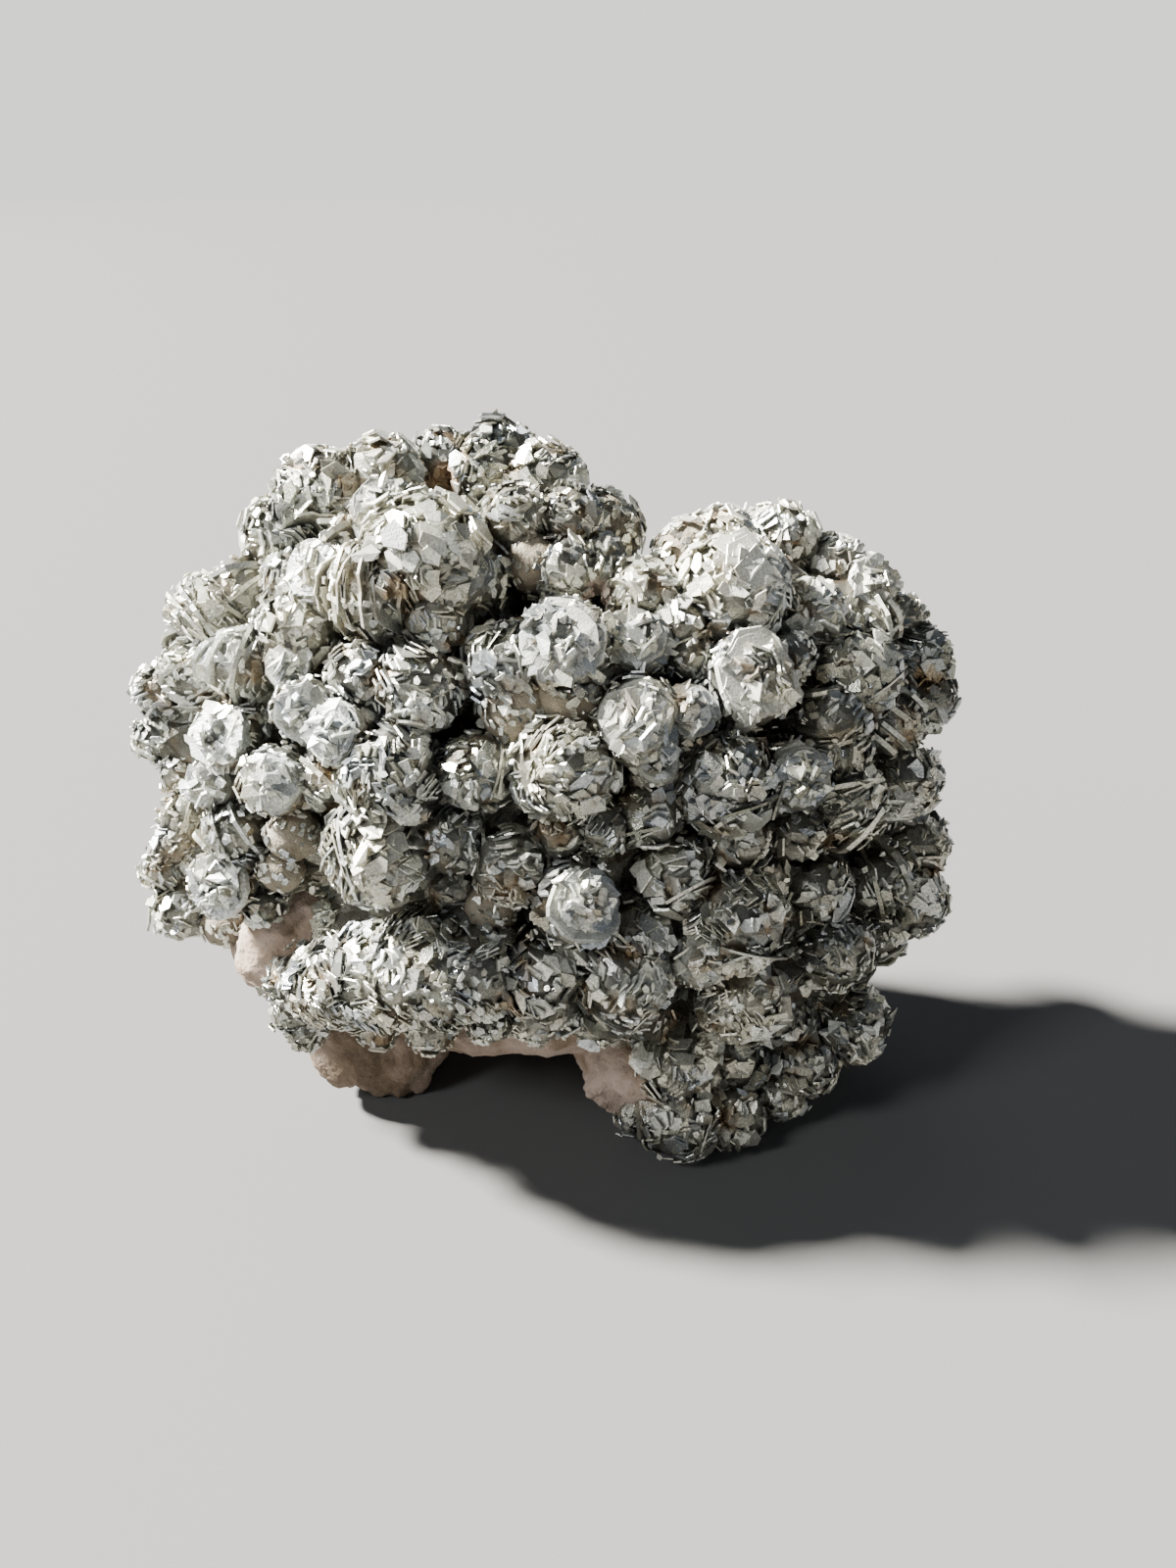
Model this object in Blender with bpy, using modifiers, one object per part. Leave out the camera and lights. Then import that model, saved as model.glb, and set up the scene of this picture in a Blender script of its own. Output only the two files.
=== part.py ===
"""Marcasite cluster: a crust of rounded, platy crystal knobs grown on a lump of pale marl.

Metres, +Z up. The origin is on the surface that the cluster stands on, under the middle of it.
The face with the knobs looks along -Y and leans back a little. The cluster stands on a few knobs
at its front right, on a foot of marl at its front left and on the heel of the marl behind them,
with a low hollow between.
"""

import math
import random

import bmesh
import bpy
from mathutils import Matrix, Vector, noise

MM = 0.001

# Body form: a thick leaning lens, 114 mm wide over the knobs and 92 mm tall
FORM_CENTRE = Vector((0.0, 0.0, 45 * MM))
FORM_HALF = Vector((50 * MM, 21 * MM, 42 * MM))
FORM_LEAN = math.radians(17)

# The crust's solid inside, a smaller lens that every knob is rooted in
CORE_CENTRE = Vector((1 * MM, -2 * MM, 44 * MM))
CORE_HALF = Vector((47 * MM, 20 * MM, 33 * MM))

# Where the reference photograph, 1200 x 1600 pixels, was taken from
PICTURE_CENTRE = (600, 800)
FOCAL_LENGTH_PIXELS = 1200
VIEW_PITCH = math.radians(28)
VIEW_DISTANCE = 165 * MM
VIEW_TARGET = Vector((5.7 * MM, 0.0, 45 * MM))

# Moves the finished cluster so that the middle of the box round it stands on the origin
CENTRING = Vector((-0.235 * MM, 2.815 * MM, 0.0))

# Clear gap between the crystals and the marl, which touch in the real thing
SEAT_GAP = 0.85 * MM

# Each knob: the pixel its middle is seen at, its radius in mm, how far it stands forward of the
# body form in mm, and its habit, which says how its plates lie
KNOBS = {
    "upper_left": [
        (435, 572, 8.2, 5, "disc"),
        (385, 602, 6.4, 5, "stack"),
        (335, 588, 5.0, 4, "disc"),
        (398, 538, 5.6, 5, "disc"),
        (480, 590, 4.6, 4, "disc"),
        (445, 628, 4.5, 4, "scales"),
        (330, 512, 7.0, 1, "blades"),
        (392, 488, 5.8, 1, "blades"),
        (288, 546, 5.2, -1, "scales"),
        (300, 592, 4.2, 0, "scales"),
        (448, 472, 4.6, -3, "scales"),
        (362, 560, 4.6, 4, "stack"),
    ],
    "top": [
        (508, 478, 6.3, 0, "scales"),
        (558, 494, 5.4, 0, "scales"),
        (528, 532, 5.0, 3, "blades"),
        (582, 532, 4.8, 2, "blades"),
        (608, 546, 6.0, -4, "smooth"),
        (575, 582, 4.6, 2, "scales"),
        (545, 575, 3.8, 2, "smooth"),
        (612, 580, 3.8, 0, "disc"),
    ],
    "left": [
        (215, 628, 5.8, 0, "stack"),
        (250, 605, 4.6, 0, "stack"),
        (205, 685, 5.8, 1, "stack"),
        (252, 678, 5.0, 3, "stack"),
        (168, 705, 4.2, -2, "scales"),
        (163, 752, 3.6, -2, "blades"),
        (187, 788, 3.4, -1, "scales"),
        (305, 640, 5.4, 2, "scales"),
        (297, 682, 3.4, 3, "disc"),
        (236, 755, 4.8, 3, "disc"),
        (285, 797, 4.6, 5, "disc"),
        (222, 800, 3.6, 3, "disc"),
        (312, 722, 4.2, 5, "disc"),
        (352, 748, 4.6, 5, "disc"),
        (190, 832, 3.8, 0, "stack"),
        (238, 848, 4.2, 3, "stack"),
        (172, 885, 4.0, -1, "blades"),
        (235, 898, 5.0, 3, "disc"),
        (190, 925, 4.6, -1, "scales"),
        (235, 938, 4.0, 1, "smooth"),
        (300, 850, 3.6, 2, "smooth"),
        (288, 888, 3.0, 1, "smooth"),
        (268, 925, 2.8, 1, "scales"),
        (182, 862, 3.8, 0, "scales"),
    ],
    "middle_left": [
        (368, 690, 4.4, 4, "scales"),
        (430, 702, 5.6, 4, "blades"),
        (400, 792, 6.6, 5, "blades"),
        (487, 786, 4.8, 4, "blades"),
        (388, 868, 6.9, 5, "blades"),
        (458, 856, 4.6, 3, "blades"),
        (462, 905, 3.4, 1, "scales"),
        (328, 795, 3.6, 3, "stack"),
    ],
    "lower_left": [
        (303, 1000, 4.4, 4, "roll"),
        (331, 999, 5.9, 5, "roll"),
        (361, 997, 6.8, 6, "roll"),
        (393, 993, 7.3, 6, "roll"),
        (425, 989, 7.6, 6, "roll"),
        (457, 988, 7.3, 6, "roll"),
        (485, 990, 6.5, 6, "roll"),
        (470, 945, 3.8, 2, "scales"),
        (385, 1048, 3.0, 3, "scales"),
        (440, 1050, 3.4, 4, "scales"),
        (500, 1040, 3.2, 6, "scales"),
        (548, 1038, 3.5, 6, "scales"),
        (577, 1030, 3.4, 6, "scales"),
        (300, 1030, 3.5, 4, "scales"),
        (313, 1052, 2.9, 4, "scales"),
    ],
    "centre": [
        (520, 678, 5.4, 4, "scales"),
        (577, 662, 6.2, 6, "disc"),
        (530, 722, 4.8, 3, "smooth"),
        (580, 705, 4.8, 4, "smooth"),
        (575, 784, 6.6, 6, "blades"),
        (652, 738, 6.0, 6, "disc"),
        (702, 730, 3.8, 6, "disc"),
        (668, 778, 3.4, 5, "disc"),
        (648, 662, 4.8, 3, "disc"),
        (655, 606, 4.6, 2, "scales"),
        (660, 828, 4.6, 3, "blades"),
        (618, 842, 3.8, 3, "blades"),
        (570, 850, 3.6, 3, "blades"),
        (688, 892, 5.2, 2, "scales"),
        (522, 884, 4.8, 4, "blades"),
        (587, 922, 5.6, 6, "disc"),
        (500, 925, 3.8, 1, "smooth"),
        (550, 992, 6.0, 5, "blades"),
        (636, 1000, 6.4, 5, "blades"),
        (650, 950, 4.6, 3, "scales"),
        (608, 1034, 4.2, 5, "scales"),
    ],
    "upper_right": [
        (700, 567, 4.6, -2, "smooth"),
        (745, 602, 7.2, 3, "scales"),
        (692, 640, 4.0, 3, "scales"),
        (702, 672, 3.0, 4, "blades"),
        (760, 694, 6.2, 5, "disc"),
        (803, 672, 3.4, 4, "blades"),
        (735, 557, 5.2, -2, "scales"),
        (793, 552, 5.4, -2, "scales"),
        (850, 580, 4.6, -2, "scales"),
        (830, 626, 4.4, 3, "blades"),
        (880, 598, 4.4, 0, "disc"),
        (886, 634, 4.2, 2, "stack"),
    ],
    "right": [
        (868, 690, 6.4, 3, "scales"),
        (918, 632, 3.8, -3, "scales"),
        (930, 674, 5.4, -2, "scales"),
        (936, 715, 5.2, -1, "scales"),
        (905, 735, 5.0, 2, "stack"),
        (850, 738, 5.0, 4, "stack"),
        (807, 792, 4.8, 6, "disc"),
        (742, 800, 6.2, 6, "blades"),
        (860, 818, 5.6, 4, "stack"),
        (852, 768, 4.2, 4, "stack"),
        (916, 795, 5.6, 1, "smooth"),
        (750, 856, 4.4, 3, "smooth"),
        (815, 848, 4.2, 3, "smooth"),
    ],
    "lower_right": [
        (934, 860, 5.0, -4, "scales"),
        (926, 915, 5.6, -3, "scales"),
        (893, 895, 5.4, 0, "stack"),
        (895, 950, 4.4, -1, "scales"),
        (752, 938, 6.8, 5, "blades"),
        (757, 1018, 6.0, 5, "blades"),
        (850, 968, 5.8, 4, "blades"),
        (715, 975, 4.4, 4, "disc"),
        (800, 1040, 4.4, 2, "scales"),
        (830, 905, 5.0, 0, "scales"),
        (770, 893, 4.2, 0, "scales"),
        (866, 1042, 5.8, -1, "scales"),
        (818, 1080, 5.4, 1, "scales"),
        (690, 1080, 6.8, 5, "blades"),
        (750, 1078, 5.0, 2, "scales"),
        (795, 1112, 4.4, -1, "scales"),
    ],
}

# Knobs that the cluster stands on: the pixel and the radius in mm
FEET = [(693, 1138, 6.0), (745, 1134, 5.0), (658, 1130, 4.2)]
FOOT_WEAR = 0.5 * MM

# Solid hearts of the lobes that stand up above the body: pixel, radius in mm, forward in mm
LOBE_HEARTS = [
    (400, 560, 9.0, 0),
    (470, 560, 8.0, 0),
    (550, 545, 8.0, 0),
    (770, 605, 9.0, -1),
    (850, 640, 9.0, -1),
    (230, 660, 8.0, -2),
    (200, 760, 8.0, -3),
    (220, 880, 7.0, -2),
    (355, 955, 6.0, 1),
    (430, 1000, 7.0, 2),
    (560, 1010, 7.0, 1),
    (650, 1030, 7.0, 1),
    (890, 900, 8.0, -3),
    (900, 800, 8.0, -3),
    (840, 1030, 8.0, -3),
    (790, 1070, 6.0, -2),
    (800, 985, 8.0, 0),
    (720, 1080, 8.0, -3),
]

# Knobs that wrap round the rim and onto the back: the count, how far round to the back as a
# share of a quarter turn, the radius in mm, and the clear angles left at the bottom
BACK_RINGS = [
    (19, 0.20, 7.2, 50),
    (15, 0.52, 6.6, 62),
]
BACK_SEED = 11

# The dip between the two upper lobes, kept clear: its left, right and lowest pixel
NOTCH = (585, 715, 610)

# Marl: each lump's centre and half sizes in mm
MARL_LUMPS = [
    ((2, 8, 40), (38, 16, 33)),
    ((0, 12, 20), (33, 14, 15)),
    ((-32, -9, 27), (13, 10.5, 11)),
    ((-29, -8, 17), (10, 10, 9)),
    ((-5, -12, 17), (24, 10, 7)),
    ((-23, -7, 8), (9, 9.5, 12)),
    ((14, -13.5, 9), (10, 11, 11)),
    ((-28, -11, 9.5), (7, 8, 7.5)),
    ((-4, 16, 8), (27, 9, 11)),
]

# The low hollow that arches between the feet, in mm
HOLLOW_CENTRE = (-2, -11, -4)
HOLLOW_HALF = (14.5, 21, 14.5)

FLOOR_SLAB = 60 * MM

# Every knob's root: what it points at, how long it is and how thick, as shares of the radius
ROOT_TARGET = Vector((0, 6 * MM, 42 * MM))
ROOT_REACH = 1.7
ROOT_SHARE = 0.7

# The narrowest gap between crystals that stays open, and the facets left on each piece
PINHOLE = 0.45 * MM
CRYSTAL_TRIANGLES = 7400
MARL_TRIANGLES = 700

# How many corners a knob's facets meet at: a fixed number and more for each mm of its radius
KNOB_CORNERS = 9
KNOB_CORNERS_PER_MM = 5

rock = random.Random(5)


def clear_scene():
    """Empties the scene, as the startup cube, camera and light aren't part of the cluster."""
    for thing in list(bpy.data.objects):
        bpy.data.objects.remove(thing)


def new_collection(name):
    """A collection in the scene."""
    made = bpy.data.collections.new(name)
    bpy.context.scene.collection.children.link(made)
    return made


def finish_material(name, colour, metallic, roughness):
    """A plain Principled BSDF finish."""
    made = bpy.data.materials.new(name)
    made.use_nodes = True
    shader = made.node_tree.nodes["Principled BSDF"]
    shader.inputs["Base Color"].default_value = (*colour, 1.0)
    shader.inputs["Metallic"].default_value = metallic
    shader.inputs["Roughness"].default_value = roughness
    return made


def sight_line(seen_x, seen_y):
    """The point that the photograph was taken from, and the direction of a pixel's line of sight."""
    forward = Vector((0, math.cos(VIEW_PITCH), -math.sin(VIEW_PITCH)))
    up = Vector((0, math.sin(VIEW_PITCH), math.cos(VIEW_PITCH)))
    across = (seen_x - PICTURE_CENTRE[0]) / FOCAL_LENGTH_PIXELS
    above = (PICTURE_CENTRE[1] - seen_y) / FOCAL_LENGTH_PIXELS
    direction = forward + Vector((across, 0, 0)) + up * above
    return VIEW_TARGET - forward * VIEW_DISTANCE, direction.normalized()


def lean_matrix():
    """Turns the upright lens back, so that its top leans away from the front."""
    return Matrix.Rotation(-FORM_LEAN, 3, "X")


def on_form(seen_x, seen_y, forward_mm):
    """Where a line of sight meets the leaning lens, moved towards the viewer by forward_mm.

    A line that misses the lens takes the point where it passes closest to it.
    """
    eye, direction = sight_line(seen_x, seen_y)
    upright = lean_matrix().inverted()
    start = upright @ (eye - FORM_CENTRE)
    heading = upright @ direction
    start = Vector(a / b for a, b in zip(start, FORM_HALF))
    heading = Vector(a / b for a, b in zip(heading, FORM_HALF))
    square = heading.dot(heading)
    half = heading.dot(start)
    left = half * half - square * (start.dot(start) - 1)
    reach = (-half - math.sqrt(max(left, 0.0))) / square
    return eye + direction * (reach - forward_mm * MM)


def on_floor(seen_x, seen_y, radius):
    """The middle of a knob that is seen at a pixel and rests on the floor."""
    eye, direction = sight_line(seen_x, seen_y)
    return eye + direction * ((radius - FOOT_WEAR - eye.z) / direction.z)


def seen_at(place):
    """The pixel at which the photograph shows a point."""
    eye, _ = sight_line(*PICTURE_CENTRE)
    forward = Vector((0, math.cos(VIEW_PITCH), -math.sin(VIEW_PITCH)))
    up = Vector((0, math.sin(VIEW_PITCH), math.cos(VIEW_PITCH)))
    ray = place - eye
    scale = FOCAL_LENGTH_PIXELS / ray.dot(forward)
    return PICTURE_CENTRE[0] + ray.x * scale, PICTURE_CENTRE[1] - ray.dot(up) * scale


def mesh_object(name, mesh_tool, collection):
    """An object whose mesh a bmesh function draws."""
    mesh = bpy.data.meshes.new(name)
    drawing = bmesh.new()
    mesh_tool(drawing)
    drawing.to_mesh(mesh)
    drawing.free()
    made = bpy.data.objects.new(name, mesh)
    collection.objects.link(made)
    return made


def faceted_ball(name, centre, half, roughen, detail, collection):
    """An icosphere stretched to its half sizes, its corners moved in and out by up to roughen."""
    offset = Vector((rock.uniform(-9, 9), rock.uniform(-9, 9), rock.uniform(-9, 9)))
    turn = Matrix.Rotation(rock.uniform(0, math.tau), 3, Vector((rock.random(), rock.random(), 1)))

    def draw(drawing):
        bmesh.ops.create_icosphere(drawing, subdivisions=detail, radius=1.0)
        for corner in drawing.verts:
            unit = turn @ corner.co
            swell = 1 + roughen * noise.noise(unit * 2.7 + offset)
            swell += roughen * 0.35 * noise.noise(unit * 6.1 - offset)
            corner.co = Vector(a * b for a, b in zip(unit * swell, half))

    made = mesh_object(name, draw, collection)
    made.location = centre
    return made


def faceted_knob(name, centre, radius, collection):
    """A rounded crystal knob: the hull round corners spread evenly over a ball.

    The hull narrows into a root that reaches back into the body.
    """
    corners = round(KNOB_CORNERS + KNOB_CORNERS_PER_MM * radius / MM)
    turn = Matrix.Rotation(rock.uniform(0, math.tau), 3, Vector((rock.random(), rock.random(), 1)))
    root = (ROOT_TARGET - centre).normalized() * radius * ROOT_REACH

    def draw(drawing):
        for number in range(corners):
            height = 1 - 2 * (number + 0.5) / corners
            around = number * math.pi * (3 - math.sqrt(5))
            ring = math.sqrt(1 - height * height)
            unit = Vector((ring * math.cos(around), ring * math.sin(around), height))
            drawing.verts.new(turn @ unit * radius * rock.uniform(0.97, 1.07))
            if number % 3 == 0:
                drawing.verts.new(root + unit * radius * ROOT_SHARE)
        hull = bmesh.ops.convex_hull(drawing, input=drawing.verts)
        inside = {item for item in hull["geom_interior"] if isinstance(item, bmesh.types.BMVert)}
        bmesh.ops.delete(drawing, geom=list(inside), context="VERTS")
        bmesh.ops.recalc_face_normals(drawing, faces=drawing.faces)

    made = mesh_object(name, draw, collection)
    made.location = centre
    return made


def plate(name, centre, facing, radius, thickness, sides, collection):
    """A thin crystal plate: a many-sided slab whose flat face looks along facing."""

    def draw(drawing):
        bmesh.ops.create_cone(
            drawing,
            cap_ends=True,
            segments=sides,
            radius1=radius,
            radius2=radius * 0.93,
            depth=thickness,
        )

    made = mesh_object(name, draw, collection)
    made.location = centre
    made.rotation_euler = facing.to_track_quat("Z", "Y").to_euler()
    return made


def knob_plates(name, centre, radius, habit, collection):
    """The few large plates that show on a knob from a step away, laid by its habit."""
    eye, _ = sight_line(*PICTURE_CENTRE)
    outward = (eye - centre).normalized()
    outward = (outward + (centre - FORM_CENTRE).normalized() * 0.5).normalized()
    sideways = outward.cross(Vector((0, 0, 1))).normalized()
    sideways = Matrix.Rotation(rock.uniform(0, math.pi), 3, outward) @ sideways
    if habit == "disc":
        spot = centre + outward * radius * 0.66
        plate(name + "_face", spot, outward, radius * 0.84, radius * 0.42, 9, collection)
    elif habit == "stack":
        for share in (-0.35, 0.25):
            spot = centre + sideways * radius * share
            plate(f"{name}_leaf{share}", spot, sideways, radius * 1.10, radius * 0.26, 9, collection)
    elif habit == "blades":
        edge_on = (sideways + outward * rock.uniform(-0.3, 0.3)).normalized()
        plate(name + "_blade", centre, edge_on, radius * 1.14, radius * 0.22, 8, collection)


def add_front_knobs(collection):
    """Every knob that the photograph shows, each on its own line of sight."""
    for lobe, rows in KNOBS.items():
        for number, (seen_x, seen_y, radius_mm, forward_mm, habit) in enumerate(rows):
            radius = radius_mm * MM
            name = f"{lobe}_{number}"
            centre = on_form(seen_x, seen_y, forward_mm)
            faceted_knob(name, centre, radius, collection)
            if radius_mm >= 4.4:
                knob_plates(name, centre, radius, habit, collection)


def add_feet(collection):
    """The knobs in front that the cluster stands on."""
    for number, (seen_x, seen_y, radius_mm) in enumerate(FEET):
        radius = radius_mm * MM
        centre = on_floor(seen_x, seen_y, radius)
        faceted_knob(f"foot_{number}", centre, radius, collection)


def add_hearts(collection):
    """The solid inside of the crust and of each lobe."""
    for number, (seen_x, seen_y, radius_mm, forward_mm) in enumerate(LOBE_HEARTS):
        centre = on_form(seen_x, seen_y, forward_mm - radius_mm * 0.5)
        faceted_ball(f"heart_{number}", centre, Vector((radius_mm * MM,) * 3), 0.1, 1, collection)


def back_spots():
    """The centre and radius of every knob on the rim and the back, ring by ring."""
    scatter = random.Random(BACK_SEED)
    spots = []
    for count, turn_share, radius_mm, clear_degrees in BACK_RINGS:
        for number in range(count):
            around = math.tau * (number + 0.5) / count + scatter.uniform(-0.07, 0.07)
            radius = radius_mm * scatter.uniform(0.82, 1.15) * MM
            behind = (turn_share + scatter.uniform(-0.06, 0.06)) * math.pi / 2
            from_bottom = abs(math.degrees((around + math.pi / 2) % math.tau))
            from_bottom = min(from_bottom, 360 - from_bottom)
            if from_bottom < clear_degrees:
                continue
            local = Vector(
                (
                    math.cos(around) * math.cos(behind) * FORM_HALF.x,
                    math.sin(behind) * FORM_HALF.y,
                    math.sin(around) * math.cos(behind) * FORM_HALF.z,
                )
            )
            spot = FORM_CENTRE + lean_matrix() @ local
            seen_x, seen_y = seen_at(spot)
            if NOTCH[0] < seen_x < NOTCH[1] and seen_y < NOTCH[2]:
                continue
            spots.append((spot, radius))
    return spots


def add_back_knobs(collection):
    """Larger knobs round the rim and on the back."""
    for number, (centre, radius) in enumerate(back_spots()):
        faceted_knob(f"back_{number}", centre, radius, collection)


def add_marl_lumps(collection):
    """The lumps of the marl."""
    rock.seed(23)
    for number, (centre, half) in enumerate(MARL_LUMPS):
        sizes = Vector(half) * MM
        spot = Vector(centre) * MM
        faceted_ball(f"lump_{number}", spot, sizes, 0.19, 3 if number < 2 else 2, collection)


def add_ground_cutters(collection):
    """The hollow between the feet, and the floor that wears the feet flat."""
    rock.seed(41)
    hollow = Vector(HOLLOW_CENTRE) * MM
    faceted_ball("hollow", hollow, Vector(HOLLOW_HALF) * MM, 0.1, 2, collection)

    def draw(drawing):
        bmesh.ops.create_cube(drawing, size=1.0)

    floor = mesh_object("floor", draw, collection)
    floor.scale = (4 * FLOOR_SLAB, 4 * FLOOR_SLAB, FLOOR_SLAB)
    floor.location = (0, 0, -FLOOR_SLAB / 2)


def hide_helpers(collection):
    """Keeps the shapes that only cut or join out of the model."""
    for helper in collection.objects:
        helper.hide_render = True
        helper.display_type = "WIRE"


def boolean(target, operation, collection):
    """Joins a collection of shapes to the target, or cuts them from it."""
    modifier = target.modifiers.new(collection.name, "BOOLEAN")
    modifier.operation = operation
    modifier.operand_type = "COLLECTION"
    modifier.collection = collection
    modifier.solver = "EXACT"


def islands(drawing):
    """The separate surfaces of a mesh, as lists of faces.

    Two surfaces that only touch along an edge count as separate.
    """
    waiting = set(drawing.faces)
    found = []
    while waiting:
        edge_of_search = [waiting.pop()]
        island = list(edge_of_search)
        while edge_of_search:
            face = edge_of_search.pop()
            for edge in face.edges:
                if len(edge.link_faces) != 2:
                    continue
                for beside in edge.link_faces:
                    if beside in waiting:
                        waiting.remove(beside)
                        edge_of_search.append(beside)
                        island.append(beside)
        found.append(island)
    return found


def spread(island):
    """How far an island's faces reach, as the diagonal of the box round it."""
    corners = [corner.co for face in island for corner in face.verts]
    low = Vector(min(place[axis] for place in corners) for axis in range(3))
    high = Vector(max(place[axis] for place in corners) for axis in range(3))
    return (high - low).length


def make_solid(target):
    """Works the modifiers out and leaves one body: no bubbles sealed inside, no loose crumbs."""
    whole = target.evaluated_get(bpy.context.evaluated_depsgraph_get())
    mesh = bpy.data.meshes.new_from_object(whole)
    target.modifiers.clear()
    drawing = bmesh.new()
    drawing.from_mesh(mesh)
    bmesh.ops.triangulate(drawing, faces=drawing.faces)
    for island in sorted(islands(drawing), key=spread)[:-1]:
        bmesh.ops.delete(drawing, geom=island, context="FACES")
    drawing.to_mesh(mesh)
    drawing.free()
    mesh.name = target.name
    target.data = mesh


def grow_together(target, triangles):
    """Closes the pinholes between joined shapes, then merges the smallest facets.

    About the given number of triangles is left.
    """
    closing = target.modifiers.new("close_pinholes", "REMESH")
    closing.mode = "VOXEL"
    closing.voxel_size = PINHOLE
    make_solid(target)
    merging = target.modifiers.new("merge_facets", "DECIMATE")
    merging.decimate_type = "COLLAPSE"
    merging.ratio = min(1.0, triangles / len(target.data.polygons))
    merging.use_collapse_triangulate = True
    make_solid(target)


def build_marl(cluster, ground):
    """The pale marl that the crystals grew on: it shows low on the left, underneath and behind.

    Returns its own shape swollen by the clearance, to seat the crystals on.
    """
    lumps = new_collection("marl_lumps")
    add_marl_lumps(lumps)
    hide_helpers(lumps)
    rock.seed(7)
    seed_half = Vector((12, 8, 12)) * MM
    marl = faceted_ball("marl_matrix", Vector((0, 8, 40)) * MM, seed_half, 0.1, 2, cluster)
    marl.data.materials.append(finish_material("marl", (0.52, 0.40, 0.33), 0.0, 0.92))
    boolean(marl, "UNION", lumps)
    make_solid(marl)
    grow_together(marl, MARL_TRIANGLES)
    seat = new_collection("marl_seat")
    swollen = bpy.data.objects.new("seat", marl.data.copy())
    swollen.location = marl.location
    seat.objects.link(swollen)
    swell = swollen.modifiers.new("clearance", "DISPLACE")
    swell.mid_level = 0.0
    swell.strength = SEAT_GAP
    make_solid(swollen)
    grow_together(swollen, MARL_TRIANGLES)
    hide_helpers(seat)
    boolean(marl, "DIFFERENCE", ground)
    make_solid(marl)
    return seat


def build_crystals(cluster, seat, ground):
    """The crust of marcasite knobs, grown together into one solid and seated on the marl."""
    knobs = new_collection("knobs")
    rock.seed(3)
    add_front_knobs(knobs)
    add_feet(knobs)
    add_hearts(knobs)
    add_back_knobs(knobs)
    hide_helpers(knobs)
    rock.seed(2)
    crystals = faceted_ball("marcasite_crystals", CORE_CENTRE, CORE_HALF, 0.06, 2, cluster)
    crystals.rotation_euler = (-FORM_LEAN, 0, 0)
    crystals.data.materials.append(finish_material("marcasite", (0.50, 0.47, 0.38), 1.0, 0.32))
    boolean(crystals, "UNION", knobs)
    make_solid(crystals)
    grow_together(crystals, CRYSTAL_TRIANGLES)
    boolean(crystals, "DIFFERENCE", seat)
    boolean(crystals, "DIFFERENCE", ground)
    make_solid(crystals)


def main():
    clear_scene()
    cluster = new_collection("marcasite_cluster")
    ground = new_collection("ground_cutters")
    add_ground_cutters(ground)
    hide_helpers(ground)
    seat = build_marl(cluster, ground)
    build_crystals(cluster, seat, ground)
    for piece in cluster.objects:
        piece.data.transform(Matrix.Translation(CENTRING) @ piece.matrix_basis)
        piece.matrix_basis = Matrix.Identity(4)
    bpy.context.view_layer.update()


main()
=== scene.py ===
"""Marcasite cluster: the finished look of a crust of platy crystal knobs on pale marl.

Run as a script. The knobs are placed as the solid model places them. Each one is a rough dome
that carries hundreds of thin crystal plates, worked out as whole arrays.
"""

import math
import random
from collections import namedtuple

import bmesh
import bpy
import numpy as np
from bpy.props import FloatProperty, FloatVectorProperty, IntProperty, PointerProperty
from bpy.types import Operator, Panel, PropertyGroup
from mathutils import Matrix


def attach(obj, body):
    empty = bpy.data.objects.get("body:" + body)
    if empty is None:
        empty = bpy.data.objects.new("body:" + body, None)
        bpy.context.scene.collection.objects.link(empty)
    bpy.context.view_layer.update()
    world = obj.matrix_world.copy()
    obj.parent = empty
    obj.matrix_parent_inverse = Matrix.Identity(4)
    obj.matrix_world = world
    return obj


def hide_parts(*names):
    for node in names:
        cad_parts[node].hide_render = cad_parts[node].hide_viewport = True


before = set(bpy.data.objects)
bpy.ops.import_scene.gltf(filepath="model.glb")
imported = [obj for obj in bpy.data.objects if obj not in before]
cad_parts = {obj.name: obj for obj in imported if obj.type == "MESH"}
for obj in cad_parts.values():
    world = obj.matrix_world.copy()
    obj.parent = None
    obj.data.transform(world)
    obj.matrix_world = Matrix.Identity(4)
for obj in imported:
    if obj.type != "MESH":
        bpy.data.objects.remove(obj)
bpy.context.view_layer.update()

bl_info = {
    "name": "Marcasite cluster",
    "version": (1, 0, 0),
    "blender": (4, 5, 0),
    "location": "3D View > Sidebar > Marcasite",
    "description": "Dresses the marcasite cluster's solids in crystal plates and marl",
    "category": "Object",
}

MM = 0.001

# Body form: a thick leaning lens that the knobs stand on
FORM_CENTRE = np.array([0.0, 0.0, 45.0]) * MM
FORM_HALF = np.array([50.0, 21.0, 42.0]) * MM
FORM_LEAN = math.radians(17)
CORE_CENTRE = np.array([1.0, -2.0, 44.0]) * MM
CORE_HALF = np.array([47.0, 20.0, 33.0]) * MM

# Where the reference photograph, 1200 x 1600 pixels, was taken from
PICTURE_SIZE = (1200, 1600)
FOCAL_LENGTH_PIXELS = 1200
VIEW_PITCH = math.radians(28)
VIEW_DISTANCE = 165 * MM
VIEW_TARGET = np.array([5.7, 0.0, 45.0]) * MM

# Moves the finished cluster so that the middle of the box round it stands on the origin
CENTRING = np.array([-0.235, 2.815, 0.0]) * MM

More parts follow.
